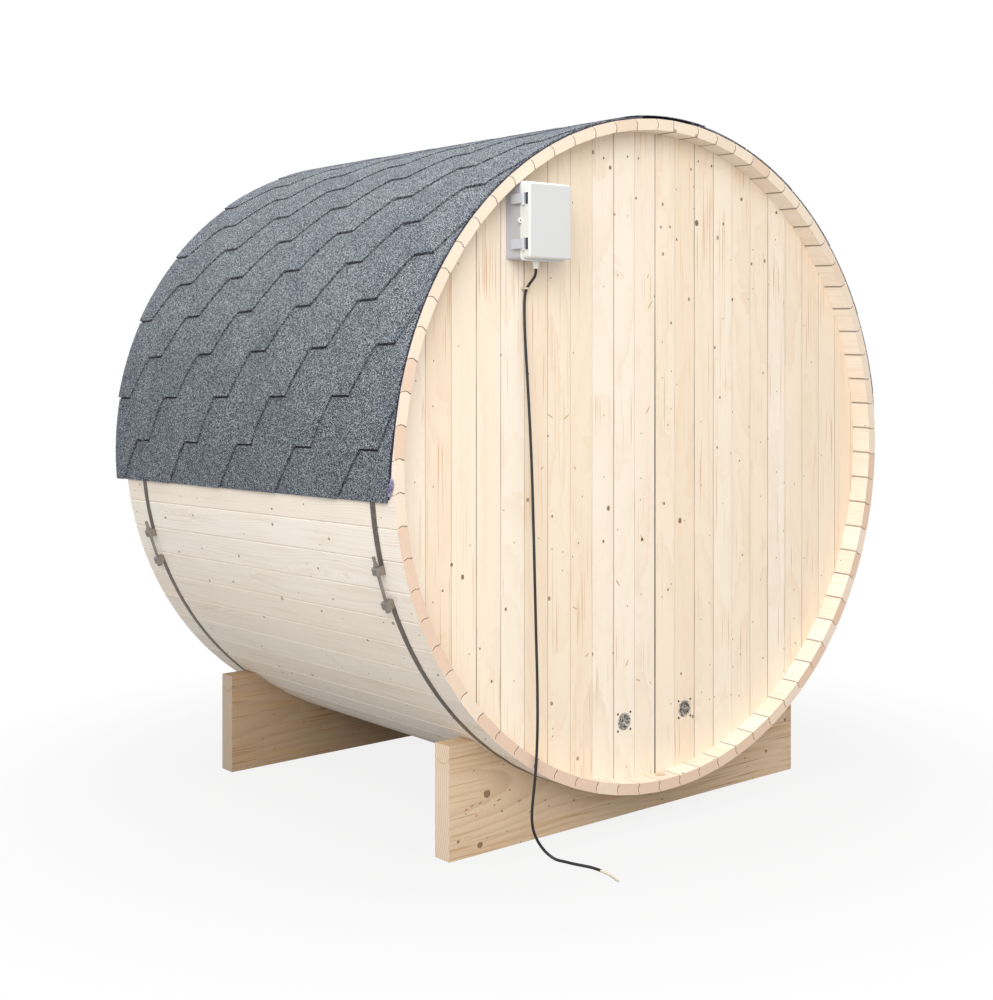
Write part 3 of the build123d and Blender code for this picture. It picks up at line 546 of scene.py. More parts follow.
# Rolled mild steel: dull and brownish, its broad highlights softened by mill scale.
band_steel = clouded("dull_rolled_steel", "8C8178", "6E655E", 60, 0.42, 0.85, 0.6)
# Zinc-plated steel of the clamps, bolts and hinge pin: a little brighter and smoother.
clamp_steel = clouded("satin_steel", "A59E97", "857E77", 90, 0.36, 0.85, 0.5)
# Pressed steel of the door hinges: dull from handling.
hinge_steel = clouded("dull_hinge_steel", "9A948C", "7F7971", 90, 0.40, 0.85, 0.5)
# Brown-plated screws: dark and half matt.
screw_brown = clouded("brown_plated_steel", "5E4430", "4A3525", 200, 0.5, 0.4, 0.5)
# Fine woven mesh of the vents: pale wires over dark holes, drawn coarser than they are so that they show.
vent_metal = clouded("pale_mesh_metal", "DDD6CE", "3A332E", 150, 0.5, 0.2, 1.0)
# Moulded latches: cool light grey with a soft shine.
latch_plastic = clouded("pale_moulded_plastic", "C4C8D2", "BBC0CB", 30, 0.4, 0.0, 0.4)
# Moulded white of the gland, the latch catches and the eye: warm white, satin.
white_plastic = clouded("white_moulded_plastic", "F0EEE6", "E4E0D6", 60, 0.45, 0.0, 0.4)
# Cable clip: the same plastic yellowed by the sun.
clip_plastic = clouded("aged_beige_plastic", "C9BDA6", "BBAE96", 60, 0.5, 0.0, 0.4)
# Plastic inside the latch slots and the eye's hole: painted shade, a dark grey where it lies in shadow.
slot_painted_shade = clouded("painted_shade_slot_plastic", "3E4148", "32353B", 60, 0.6, 0.0, 0.4)
# Rubber jacket: near black, with a soft sheen along its round.
black_rubber = clouded("black_rubber_jacket", "1B1B1D", "26262A", 60, 0.5, 0.0, 0.4)
# Inner sheath at the cable's bare end: dull beige.
tail_jacket = clouded("pale_inner_sheath", "D8CFBA", "B9B09A", 60, 0.6, 0.0, 0.5)
# Bitumen at the cut edges of the felt: black and matt.
bitumen = clouded("black_bitumen_edge", "191A1C", "101113", 200, 0.8, 0.0, 0.5)
# Underlay felt: near black with a violet cast, matt.
underlay = clouded("dark_violet_underlay_felt", "2E2638", "1D1824", 150, 0.8, 0.0, 0.5)
# Release film: thin violet plastic with paler creases, the glossiest thing on the roof.
film = clouded("violet_plastic_film", "6A6088", "A49EBE", 90, 0.35, 0.0, 0.9)
# Plug wood: end grain sanded flush, greyer than the staves.
plug_wood = clouded("grey_tan_plug_wood", "DCC7B2", "CDB59E", 90, 0.7, 0.0, 0.5)
# Painted shade inside the joints: dark brown wood, because light hardly reaches it.
joint_painted_shade = clouded("dusty_wood_inside_joints", "5E4632", "4A3524", 60, 0.8, 0.0, 0.5)
# Branch wood and its bark rim, for the main knots of the wall.
knot_core = clouded("brown_knot_wood", "94785A", "6E5440", 300, 0.6, 0.0, 0.8)
knot_ring = clouded("dark_knot_rim", "3E2E21", "2E2118", 300, 0.6, 0.0, 0.8)
# Spike knots, cut lengthwise: orange wood with a resin-brown edge.
spike_core = clouded("orange_spike_knot", "D9B48A", "C79A68", 300, 0.6, 0.0, 0.8)
spike_ring = clouded("resin_brown_rim", "B98B5E", "8E6440", 200, 0.6, 0.0, 0.9)
# Knots of the cradle: greyer wood with a broad bark rim.
cradle_core = clouded("grey_brown_knot_wood", "93765A", "7C6048", 300, 0.6, 0.0, 0.8)
cradle_ring = clouded("bark_brown_rim", "5C432E", "6E4E34", 300, 0.6, 0.0, 0.8)
print("finishes so far", len(bpy.data.materials))

# %% [markdown]
# The junction box is moulded light grey plastic. Its rounded edges and the rim under the lid catch more
# light and look paler than its flat faces. Each edge could be a separate piece with its own paint, but
# it is one moulding. So the finish itself turns paler, a painted highlight, on the lid where the surface
# no longer faces the front, and on the base near its front edge. The base is also painted a darker,
# bluer grey than the lid, as painted shade, since it sits deep in the ring.

# %% Box finishes
RIM_FROM, RIM_TO = NEAR_Y + 0.006, NEAR_Y + 0.002


def moulded(name, base, edge, source, low, high):
    """A moulded plastic with a painted highlight, paler where the Y part of the normal or of the place runs
    from low to high.
    """
    made, tree = new_material(name)
    part = add(tree, "SeparateXYZ", [add(tree, "TexCoord", out=source)], out=1)
    if source == "Normal":
        part = add(tree, "Math", [part], operation="ABSOLUTE")
    paler = add(tree, "MapRange", [part, low, high], interpolation_type="SMOOTHSTEP")
    spot = add(tree, "TexCoord", out="Object")
    relief = add(tree, "TexNoise", {"Vector": spot, "Scale": 240, "Detail": 3.0})
    surface(tree, layered(tree, base, [(paler, 1.0, edge)]), 0.47, relief, 0.00005)
    return made


# The paler edges of the lid are a painted highlight.
lid_plastic_painted_highlight = moulded("light_grey_plastic_painted_highlight", "D3D3D1", "E0E3DF", "Normal", 0.96, 0.60)
# The base's darker, bluer grey is painted shade from the ring round the box, and its paler front rim is a
# painted highlight.
base_painted_shade_and_highlight = moulded("grey_moulded_plastic", "BABCC4", "E6E8E4", "Object", RIM_FROM, RIM_TO)
print("box finishes", lid_plastic_painted_highlight.name, base_painted_shade_and_highlight.name)

# %% [markdown]
# Shingles are bitumen felt pressed full of mineral granules. Each granule could be a real bump of a
# mesh, but there are millions. A cell pattern gives every grain its own shade instead, from near black to
# pale grey, with a small relief, drawn a little coarser than the real millimetre grains. Broad patches
# where one colour lies thicker keep the roof from being even.

# %% Shingle granules
GRAINS = 580.0
granules, tree = new_material("blue_grey_mineral_granules")
spot = add(tree, "TexCoord", out="Object")
grains = add(tree, "TexVoronoi", {"Vector": spot, "Scale": GRAINS}, out=None, feature="F1")
shade = add(tree, "SeparateColor", [grains["Color"]])
dark = add(tree, "MapRange", [shade, 0.05, 0.55], interpolation_type="SMOOTHSTEP")
light = add(tree, "MapRange", [shade, 0.55, 1.00], interpolation_type="SMOOTHSTEP")
patches = add(tree, "TexNoise", {"Vector": spot, "Scale": 7.0})
patches = add(tree, "MapRange", [patches, 0.35, 0.7], interpolation_type="SMOOTHSTEP")
colour = layered(tree, "14181D", [(dark, 1.0, "4C525B"), (light, 1.0, "C4C9D0"), (patches, 0.18, "3A4150")])
bumps = add(tree, "MapRange", [grains["Distance"], 0.7, 0.1], interpolation_type="SMOOTHSTEP")
surface(tree, colour, 0.9, bumps, 0.0006, gloss=0.2)
print("grains", round(1000 / GRAINS, 1), "mm")

# %% [markdown]
# The roof is laid in slanting bands of shingle. Each band's near edge steps up the roof like a stair: half
# a course of slanted tab side, then a short level step, and it laps the band in front of it. The tabs could
# be laid one by one, but a real band is one sheet, and it bends as one. So a flat sheet of felt is cut to
# the stair outline, sliced into narrow strips so that it can bend, thickened, and rolled round the barrel.
# The laid band is thickest at its free near edge.

# %% Shingle bands
FELT_UNDER_R = 1.0019
FELT_LOW_R = 1.0040
FELT_HIGH_R = 1.0098
FELT_RIDGE_R = 1.0074
CAP_HIGH_R = 1.0094
THINNER_FROM_DEG, THINNEST_DEG = 50, 75
LAP_GAP_DEG = 0.34
BAND_WIDTH = 0.322
FIRST_BAND_Y = 0.147
STEP = 0.082
RISE_SHIFT = 0.161
LEVELS = 12
FIRST_LEVEL_DEG, LEVEL_DEG, LEVEL_SHRINK_DEG, MEAN_LEVEL_DEG = 3.3, 8.2, 0.07, 7.9
LOWEST_TAB_Y, LOWEST_TAB_DEG = 0.156, 10.95
SLICE_DEG = 2
ROOF_FAR = 1.595
ROOF_TOP_DEG = 84.0
NEAR_TRIM = [(-8.5, 0.041), (-2.0, 0.020), (4.0, 0.009), (8.0, 0.004), (90.0, 0.004)]
LAPPED_R = {"left": FELT_LOW_R, "right": FELT_LOW_R + 0.0035}
EAVES = {"left": ((-4.6, -6.5), 1), "right": ((-6.0, -4.1), -1)}


def level_deg(number, y, slant):
    """The angle above the side of one course line, which drifts with the barrel's slight twist."""
    drift = min(1.4 + 0.2 * number, 2.4)
    rise = FIRST_LEVEL_DEG + LEVEL_DEG * number - LEVEL_SHRINK_DEG * number * number
    return rise - slant * drift * y


def stair(number, slant):
    """The outline of one band's edge, from below the eave to above the ridge, as (y, degrees)."""
    start = FIRST_BAND_Y + BAND_WIDTH * number
    points = [(start + LOWEST_TAB_Y, level_deg(0, start, slant) - LOWEST_TAB_DEG)]
    for level in range(LEVELS):
        y = start - RISE_SHIFT * level
        points.append((y, level_deg(level, y, slant)))
        points.append((y - STEP, level_deg(level, y - STEP, slant)))
    return points


def cut(point, normal, clear=True):
    """Cuts the sheet being edited by a line, and drops what lies on the normal's side."""
    bpy.ops.mesh.select_all(action="SELECT")
    bpy.ops.mesh.bisect(plane_co=point, plane_no=normal, clear_outer=clear, clear_inner=False)


def arc(degrees):
    """The length in metres of an arc of the barrel."""
    return math.radians(degrees) * OUTER_R


def edit_only(obj):
    """Selects one object alone and opens it for editing."""
    bpy.ops.object.select_all(action="DESELECT")
    bpy.context.view_layer.objects.active = obj
    obj.select_set(True)
    bpy.ops.object.mode_set(mode="EDIT")


def face_outwards():
    """Turns every face of the object being edited outwards, and closes the edit."""
    bpy.ops.mesh.select_all(action="SELECT")
    bpy.ops.mesh.normals_make_consistent(inside=False)
    bpy.ops.object.mode_set(mode="OBJECT")


def flat_sheet(name, outline, eave, trims, top=ROOF_TOP_DEG):
    """A flat piece of felt on the X-Y plane: X along the barrel, Y the arc above the side."""
    mesh = bpy.data.meshes.new(name)
    mesh.from_pydata([(y, arc(deg), 0) for y, deg in outline], [], [list(range(len(outline)))])
    made = bpy.data.objects.new(name, mesh)
    bpy.context.scene.collection.objects.link(made)
    edit_only(made)
    near, far = eave
    slope = arc(far - near) / BARREL_LEN
    cut((0, arc(near), 0), (slope, -1, 0))
    cut((ROOF_FAR, 0, 0), (1, 0, 0))
    cut((0, arc(top), 0), (0, 1, 0))
    for (low_deg, low_y), (high_deg, high_y) in zip(trims, trims[1:]):
        run = Vector((high_y - low_y, arc(high_deg - low_deg), 0))
        cut((low_y, arc(low_deg), 0), (-run.y, run.x, 0))
    if not bmesh.from_edit_mesh(made.data).faces:
        bpy.ops.object.mode_set(mode="OBJECT")
        bpy.data.objects.remove(made)
        return None
    for step in range(-7, int(top), SLICE_DEG):
        cut((0, arc(step), 0), (0, 1, 0), clear=False)
    bpy.ops.mesh.select_all(action="SELECT")
    bpy.ops.mesh.extrude_region_move(TRANSFORM_OT_translate={"value": (0, 0, 1)})
    bpy.ops.object.mode_set(mode="OBJECT")
    return made


def roll(sheet, side, under, top):
    """Rolls a flat sheet round the barrel. top gives the radius of its upper face at (y, degrees)."""
    for vertex in sheet.data.vertices:
        y, bow, upper = vertex.co
        degrees = math.degrees(bow / OUTER_R)
        radius = top(y, degrees) if upper > 0.5 else under
        vertex.co = around(radius, 180 - degrees if side == "left" else degrees, y)
    edit_only(sheet)
    face_outwards()
    for face in sheet.data.polygons:
        middle = Vector((face.center.x, 0, face.center.z - AXIS_Z))
        face.material_index = 0 if face.normal.dot(middle.normalized()) > 0.5 else 1


def band_top(number, lapped_r):
    """The upper face of a band, which falls from its free near edge to where the next band laps it."""
    def radius(y, degrees):
        climb = RISE_SHIFT * (degrees - FIRST_LEVEL_DEG) / MEAN_LEVEL_DEG
        edge = FIRST_BAND_Y + BAND_WIDTH * number - STEP / 2 - climb
        fall = min(max((y - edge) / BAND_WIDTH, 0.0), 1.0)
        thin = min(max((degrees - THINNER_FROM_DEG) / (THINNEST_DEG - THINNER_FROM_DEG), 0.0), 1.0)
        high = FELT_HIGH_R + (FELT_RIDGE_R - FELT_HIGH_R) * thin
        return high + (lapped_r - high) * fall
    return radius


for side, (eave, slant) in EAVES.items():
    count = 0
    for number in range(-1, 11):
        lapped = [(y, deg - LAP_GAP_DEG) for y, deg in stair(number + 1, slant)]
        outline = stair(number, slant) + lapped[::-1]
        sheet = flat_sheet(f"shingle_band_{side}_{number + 2:02d}", outline, eave, NEAR_TRIM)
        if sheet is None:
            continue
        roll(sheet, side, FELT_UNDER_R, band_top(number, LAPPED_R[side]))
        paint(sheet, granules, bitumen)
        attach(sheet, "root")
        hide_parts(f"shingles_{side}")
        count += 1
    print(side, "bands", count)

# %% [markdown]
# Cap tabs straddle the ridge, each lapping the next one away from the service end. One long strip would
# cover it too, but a roofer bends single tabs over it, and their steps show. Under everything lies a dark
# underlay felt, a few millimetres of which show along the near edge of the shingles. Both are made as the
# bands are: a flat sheet, cut and rolled.

# %% Ridge cap and underlay
CAP_FROM_DEG = 80.5
CAP_TO_DEG = 99.0
CAP_TABS = 5
CAP_JOINT = 0.0015
CAP_FALL = 0.0012
UNDERLAY_UNDER_R = 1.0004
UNDERLAY_SHOWS = 0.006
NO_TRIM = [(-30.0, 0.0), (200.0, 0.0)]
DEEP_EAVE = (-20.0, -20.0)
tab_length = ROOF_FAR / CAP_TABS


def cap_top(start):
    """The upper face of one cap tab, which falls away from the service end."""
    return lambda y, degrees: CAP_HIGH_R - CAP_FALL * (y - start) / tab_length


for number in range(CAP_TABS):
    start = tab_length * number
    end = start + tab_length - CAP_JOINT
    outline = [(start, CAP_FROM_DEG), (end, CAP_FROM_DEG), (end, CAP_TO_DEG), (start, CAP_TO_DEG)]
    tab = flat_sheet(f"ridge_cap_{number + 1}", outline, DEEP_EAVE, NO_TRIM, 120.0)
    roll(tab, "left", FELT_RIDGE_R + 0.0002, cap_top(start))
    paint(tab, granules, bitumen)
    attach(tab, "root")
    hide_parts("ridge_strip")

for side, (eave, slant) in EAVES.items():
    near, far = eave
    end = ROOF_FAR - 0.003
    outline = [(0.0, near + 0.5), (end, far + 0.3), (end, 90.0), (0.0, 90.0)]
    trims = [(deg, max(y - UNDERLAY_SHOWS, 0.0005)) for deg, y in NEAR_TRIM]
    felt = flat_sheet(f"underlay_{side}", outline, DEEP_EAVE, trims, 89.9)
    roll(felt, side, UNDERLAY_UNDER_R, lambda y, degrees: FELT_UNDER_R - 0.0003)
    paint(felt, underlay, underlay)
    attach(felt, "root")
print("cap tabs", CAP_TABS, "of", round(tab_length, 3), "m")

# %% [markdown]
# A scrap of violet release film, left from the self-adhesive underlay, peeps out under the near corner of
# the left eave. A cloth simulation could crumple it, but it is a few centimetres long. A fine grid moved by
# two sine waves gives the same folds every time, and it is thickened after that.

# %% Film scrap
FILM_THICKNESS = 0.0004
FILM_R = 1.0050
FILM_MIDDLE_DEG, FILM_SPAN_DEG = 182.3, 2.6
FILM_MIDDLE_Y = 0.009
FILM_WIDTH, FILM_WIDER = 0.017, 0.007
bpy.ops.object.select_all(action="DESELECT")
bpy.ops.mesh.primitive_grid_add(x_subdivisions=10, y_subdivisions=16, size=1, location=(0, 0, 0))
scrap = bpy.context.object
scrap.name = "film_scrap"
for vertex in scrap.data.vertices:
    wide, tall = vertex.co.x, vertex.co.y
    fold = math.sin(9 * wide + 5 * tall) * 0.0016 + math.sin(17 * tall - 4 * wide) * 0.0010
    width = FILM_WIDTH + FILM_WIDER * math.cos(5 * tall)
    lean = 0.006 * math.sin(5 * tall) + 0.004 * tall
    spot_y = FILM_MIDDLE_Y + width * wide + lean
    vertex.co = around(FILM_R + fold, FILM_MIDDLE_DEG + FILM_SPAN_DEG * tall, spot_y)
edit_only(scrap)
bpy.ops.mesh.select_all(action="SELECT")
bpy.ops.mesh.extrude_region_shrink_fatten(TRANSFORM_OT_shrink_fatten={"value": FILM_THICKNESS})
face_outwards()
paint(scrap, film)
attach(scrap, "root")
print("film scrap", FILM_THICKNESS, "m thick")

# %% [markdown]
# Each stave is a plank with a bead on one edge and a cove on the other. Under the shrink of the bands the
# staves of this barrel have settled with a slight twist, a little over one degree along every metre. Each
# one could be modelled again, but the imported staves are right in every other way. So a copy of them is
# turned by that much about the barrel's axis. Their number, width and depth are noted on the points for
# the wood finish before they are turned.

# %% Staves
TWIST_DEG = 1.24
SAG_DEG, SAG_MIDDLE_DEG, SAG_SPREAD_DEG = 0.6, 195, 28
STAVE_SHRINK = 0.015


def centred_turns(group):
    """The middle angle of one stave's points, and each point's angle, without a jump at zero."""
    turns = {v: math.degrees(math.atan2(v.co.z - AXIS_Z, v.co.x)) % 360 for v in group}
    if max(turns.values()) - min(turns.values()) > 180:
        turns = {v: turn - 360 if turn > 180 else turn for v, turn in turns.items()}
    return (max(turns.values()) + min(turns.values())) / 2, turns


def number_staves(mesh):
    """Writes each loose stave's number, and each point's place across and into it, as attributes."""
    work = bmesh.new()
    work.from_mesh(mesh)
    bmesh.ops.remove_doubles(work, verts=work.verts, dist=0.00002)
    board = work.verts.layers.float.new("board")
    across = work.verts.layers.float.new("across")
    deep = work.verts.layers.float.new("deep")
    todo = set(work.verts)
    while todo:
        group = {todo.pop()}
        front = set(group)
        while front:
            front = {edge.other_vert(v) for v in front for edge in v.link_edges} - group
            group |= front
        todo -= group
        middle, turns = centred_turns(group)
        for v, turn in turns.items():
            v[board] = math.floor((middle - FIRST_JOINT_DEG) / STAVE_DEG) % STAVE_COUNT
            v[across] = math.radians(turn - middle)
            v[deep] = OUTER_R - math.hypot(v.co.z - AXIS_Z, v.co.x)
    work.to_mesh(mesh)
    work.free()


def shade_joints(mesh):
    """Gives the faces inside the joints, which light hardly reaches, the second finish: painted shade."""
    for face in mesh.polygons:
        face.use_smooth = False
        outwards = Vector((face.center.x, 0, face.center.z - AXIS_Z)).normalized()
        hidden = abs(face.normal.dot(outwards)) < 0.5 and abs(face.normal.y) < 0.5
        face.material_index = 1 if hidden else 0


def settle(mesh):
    """Turns the points about the barrel's axis by the twist, and by a small sag on the left side."""
    across = mesh.attributes["across"].data
    for vertex in mesh.vertices:
        x, z = vertex.co.x, vertex.co.z - AXIS_Z
        y = vertex.co.y - NEAR_Y
        shrunk = math.degrees(across[vertex.index].value) * STAVE_SHRINK
        turn = math.degrees(math.atan2(z, x)) % 360 - shrunk
        sag = SAG_DEG * math.exp(-((turn - SAG_MIDDLE_DEG) / SAG_SPREAD_DEG) ** 2)
        vertex.co = around(math.hypot(x, z), turn + TWIST_DEG * y + sag, y)


for name in sorted(nodes):
    if not name.startswith("staves_"):
        continue
    mesh = nodes[name].data.copy()
    copy = bpy.data.objects.new(name.replace("staves", "twisted_staves"), mesh)
    bpy.context.scene.collection.objects.link(copy)
    number_staves(mesh)
    settle(mesh)
    paint(copy, stave_spruce, joint_painted_shade)
    shade_joints(mesh)
    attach(copy, "root")
    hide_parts(name)
print("staves turned by", TWIST_DEG, "degrees a metre")

# %% [markdown]
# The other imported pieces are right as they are: walls, door, cradles, bands, clamps, box, latches, vents
# and plugs. They could be copied and detailed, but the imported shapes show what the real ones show. So they
# keep their shapes and only get their finishes, by the start of their names.

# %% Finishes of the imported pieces
FINISHES = {
    "rear_wall": planed_spruce, "front_wall": planed_spruce, "front_door": planed_spruce,
    "door_frame": planed_spruce, "door_handle": handle_wood, "door_hinges": hinge_steel,
    "cradle_near": cradle_spruce, "cradle_far": far_cradle_shaded_spruce, "band": band_steel, "clamp": clamp_steel,
    "box_lid": lid_plastic_painted_highlight, "box_base": base_painted_shade_and_highlight, "latch": latch_plastic, "hinge_pin": clamp_steel,
    "cable_gland": white_plastic, "cable_clip": clip_plastic, "vent": vent_metal, "drain_plug": plug_wood,
}
painted = 0
for name, obj in nodes.items():
    for key, made in FINISHES.items():
        if name.startswith(key):
            paint(obj, made)
            painted += 1
print("packed pieces with a finish", painted)

# %% [markdown]
# The cable leaves the gland under the junction box, is clipped to the wall once, and hangs down over the
# edge of the barrel to the ground, where it ends bare. A simulated rope could find its own way down, but
# this one has to hang where the real one does. So its route is a list of points down the real cable, and
# a smooth curve through their run gives the line, with no kinks between them.

# %% Cable
CABLE_MM = 8.0
TAIL_MM = 7.0
FLOOR_LINE = CABLE_MM / 2 - 1095
TAIL_RUN = 35
CABLE_ROUTE = [
    (-510.0, 14.0, 539.0), (-510.0, 14.0, 524.0), (-508.6, 25.0, 512.5), (-507.3, 39.5, 502.5),
    (-507.6, 51.5, 491.5), (-509.6, 58.5, 478.0), (-511.6, 61.0, 458.0), (-513.4, 60.0, 426.0),
    (-516.0, 55.0, 365.0), (-515.0, 47.5, 265.0), (-513.5, 40.0, 160.0), (-512.5, 32.8, 50.0),
    (-512.3, 26.6, -60.0), (-512.8, 21.4, -170.0), (-513.7, 16.2, -280.0), (-515.0, 10.6, -390.0),
    (-517.0, 4.6, -490.0), (-519.4, -1.5, -565.0), (-522.2, -6.5, -620.0), (-524.6, -10.0, -665.0),
    (-526.4, -12.2, -720.0), (-529.0, -12.8, -785.0), (-533.6, -12.6, -850.0), (-540.6, -12.4, -905.0),
    (-546.4, -12.6, -945.0), (-548.0, -12.9, -980.0), (-542.6, -13.4, -1010.0), (-530.0, -15.5, -1038.0),
    (-514.5, -21.0, -1063.0), (-500.5, -32.0, -1081.0), (-490.5, -49.0, FLOOR_LINE),
    (-482.5, -74.0, FLOOR_LINE), (-476.5, -104.0, FLOOR_LINE), (-467.0, -131.0, FLOOR_LINE),
    (-459.0, -155.0, FLOOR_LINE), (-456.5, -180.0, FLOOR_LINE), (-457.2, -208.0, FLOOR_LINE),
    (-461.6, -236.0, FLOOR_LINE), (-469.0, -262.0, FLOOR_LINE), (-477.0, -283.0, FLOOR_LINE),
]


def smooth_curve(name, points, radius):
    """One open NURBS spline with these control points and a round section."""
    data = bpy.data.curves.new(name, "CURVE")
    data.dimensions = "3D"
    data.resolution_u = 8
    data.bevel_depth = radius
    data.bevel_resolution = 4
    data.use_fill_caps = True
    spline = data.splines.new("NURBS")
    spline.points.add(len(points) - 1)
    for point, spot in zip(spline.points, points):
        point.co = (*spot, 1)
    spline.order_u = 3
    spline.use_endpoint_u = True
    made = bpy.data.objects.new(name, data)
    bpy.context.scene.collection.objects.link(made)
    return made


cable_points = [place(*point) for point in CABLE_ROUTE]
split = (cable_points[TAIL_RUN] + cable_points[TAIL_RUN + 1]) / 2
cable = smooth_curve("cable_jacket", cable_points[:TAIL_RUN + 1] + [split], CABLE_MM / 2000)
tail = smooth_curve("cable_bare_end", [split] + cable_points[TAIL_RUN + 1:], TAIL_MM / 2000)
tail.data.transform(Matrix.Translation((0, 0, (TAIL_MM - CABLE_MM) / 2000)))
bpy.ops.object.select_all(action="DESELECT")
bpy.context.view_layer.objects.active = tail
tail.select_set(True)
bpy.ops.object.convert(target="MESH")
tail = bpy.context.object
edit_only(tail)
bpy.ops.mesh.select_all(action="SELECT")
bpy.ops.mesh.remove_doubles(threshold=0.00001)
face_outwards()
bpy.ops.object.shade_smooth_by_angle(angle=math.radians(40))
paint(cable, black_rubber)
paint(tail, tail_jacket)
for piece, node, kind in ((cable, "power_cable", "cable_rubber"), (tail, "cable_tail", "tail_jacket")):
    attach(piece, "root")
    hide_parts(node)

# %% [markdown]
# Small screws hold the vent inserts, four to each on a square. A dark dot on the finish would do from far
# away, but a screw head catches light on its rim. So each is turned from a short rod, with a bevelled rim
# and a round driver hole. The nail of the cable clip is the same piece, a little smaller.

# %% Screws and nail
WALL_FACE_MM = 67.0
VENTS_MM = ((-121.0, -790.0), (135.5, -790.0))
SCREW_SPACING_MM = 51.0
SCREW_R, NAIL_R = 0.0032, 0.0022
SCREW_DEPTH = 0.0022
INTO_WALL_MM = 0.3
NAIL_MM = (-518.1, 58.0, 485.5)
CORNERS = ((-1, -1), (1, -1), (1, 1), (-1, 1))


def outer_faces(made, axis, sign):
    """Selects the faces of an object in edit mode that look along one axis."""
    bpy.ops.mesh.select_all(action="DESELECT")
    work = bmesh.from_edit_mesh(made.data)
    for face in work.faces:
        face.select = face.normal[axis] * sign > 0.9
    bmesh.update_edit_mesh(made.data)


def screw(name, x, y, z, radius):
    """A pan-head screw, its head standing out of the service-end wall."""
    bpy.ops.object.select_all(action="DESELECT")
    bpy.ops.mesh.primitive_cylinder_add(vertices=20, radius=radius, depth=SCREW_DEPTH, location=(0, 0, 0))
    made = bpy.context.object
    made.name = name
    bpy.ops.object.mode_set(mode="EDIT")
    outer_faces(made, 2, 1)
    bpy.ops.mesh.inset(thickness=radius * 0.25, depth=0.0004)
    bpy.ops.mesh.inset(thickness=radius * 0.35, depth=0.0)
    bpy.ops.mesh.extrude_region_move(TRANSFORM_OT_translate={"value": (0, 0, -0.0008)})
    bpy.ops.object.mode_set(mode="OBJECT")
    made.data.transform(Matrix.Rotation(math.radians(90), 4, "X"))
    made.data.transform(Matrix.Translation(place(x, y - INTO_WALL_MM, z)))
    paint(made, screw_brown)
    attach(made, "root")


half = SCREW_SPACING_MM / 2
for vent, (x, z) in enumerate(VENTS_MM):
    for corner, (right, up) in enumerate(CORNERS):
        screw(f"vent_screw_{vent}_{corner}", x + right * half, WALL_FACE_MM, z + up * half, SCREW_R)
screw("clip_nail", *NAIL_MM, NAIL_R)
print("screws", len(VENTS_MM) * len(CORNERS), "and one nail")

# %% [markdown]
# Each latch snaps over a catch on the left side of the lid. The catch is a small white moulded frame round
# a slot that lies in shadow. Four bars could be joined into the frame, but it is moulded in one piece. So
# a block's outer face is inset and sunk, and a copy serves the second latch. The padlock eye gets a
# white moulded lip round its hole in the same way.

# %% Latch catches and padlock eye
LID_LEFT_MM = -575.5
LATCHES_MM = (728.0, 604.0)
CATCH_SIZE = (0.0022, 0.0110, 0.0320)
CATCH_FRAME, CATCH_SLOT_DEPTH = 0.0029, 0.0015
CATCH_Y_MM, CATCH_STANDS_MM = -27.0, 0.9
EYE_MM = (-582.5, -6.5, 668.0)
EYE_R, EYE_HEIGHT = 0.0068, 0.0010
EYE_LIP, EYE_HOLE_DEPTH = 0.0038, 0.0006


def sink(made, thickness, depth):
    """Insets the chosen faces, sinks them, and gives the sunk floor the second finish, a painted shade."""
    bpy.ops.mesh.inset(thickness=thickness, depth=0.0)
    bpy.ops.mesh.inset(thickness=thickness * 0.1, depth=-depth)
    made.active_material_index = 1
    bpy.ops.object.material_slot_assign()
    bpy.ops.object.mode_set(mode="OBJECT")
    bpy.ops.object.shade_flat()


bpy.ops.object.select_all(action="DESELECT")
bpy.ops.mesh.primitive_cube_add(size=1, location=(0, 0, 0))
catch = bpy.context.object
catch.name = "latch_catch_1"
catch.data.transform(Matrix.Diagonal((*CATCH_SIZE, 1.0)))
paint(catch, white_plastic, slot_painted_shade)
bpy.ops.object.mode_set(mode="EDIT")
outer_faces(catch, 0, -1)
sink(catch, CATCH_FRAME, CATCH_SLOT_DEPTH)
catch.data.transform(Matrix.Translation(place(LID_LEFT_MM - CATCH_STANDS_MM, CATCH_Y_MM, LATCHES_MM[0])))
second = bpy.data.objects.new("latch_catch_2", catch.data.copy())
bpy.context.scene.collection.objects.link(second)
second.data.transform(Matrix.Translation((0, 0, (LATCHES_MM[1] - LATCHES_MM[0]) / 1000)))
for piece in (catch, second):
    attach(piece, "box_lid")

bpy.ops.object.select_all(action="DESELECT")
bpy.ops.mesh.primitive_cylinder_add(vertices=32, radius=EYE_R, depth=EYE_HEIGHT, location=(0, 0, 0))
eye = bpy.context.object
eye.name = "padlock_eye_lip"
paint(eye, white_plastic, slot_painted_shade)
bpy.ops.object.mode_set(mode="EDIT")
outer_faces(eye, 2, 1)
sink(eye, EYE_LIP, EYE_HOLE_DEPTH)
eye.data.transform(Matrix.Rotation(math.radians(90), 4, "X"))
eye.data.transform(Matrix.Translation(place(*EYE_MM)))
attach(eye, "root")
print("catches at", LATCHES_MM, "mm above the axis")

# %% [markdown]
# The largest knots of the wall are pieces of branch that the saw cut through. The wood finish scatters
# small knots by chance, but it can't put a large one where the real board has it. So each is set into its
# board as a small oval plug with a dark bark rim. Spike knots, cut lengthwise, are long thin plugs that
# lean, and the near cradle has knots and pitch pockets of the same kind.

# %% Main knots and pitch pockets
PLUG_DEPTH = 0.0012
PLUG_SIDES = 14
PLUG_JITTER = 0.12
BARK_SHARE = 0.28
SPIKE_WIDTH_MM = 4.5
PITCH_WIDTH_MM = 4
WALL_PLUG_Y = WALL_FACE_MM + 0.45
CRADLE_PLUG_Y = 135.45
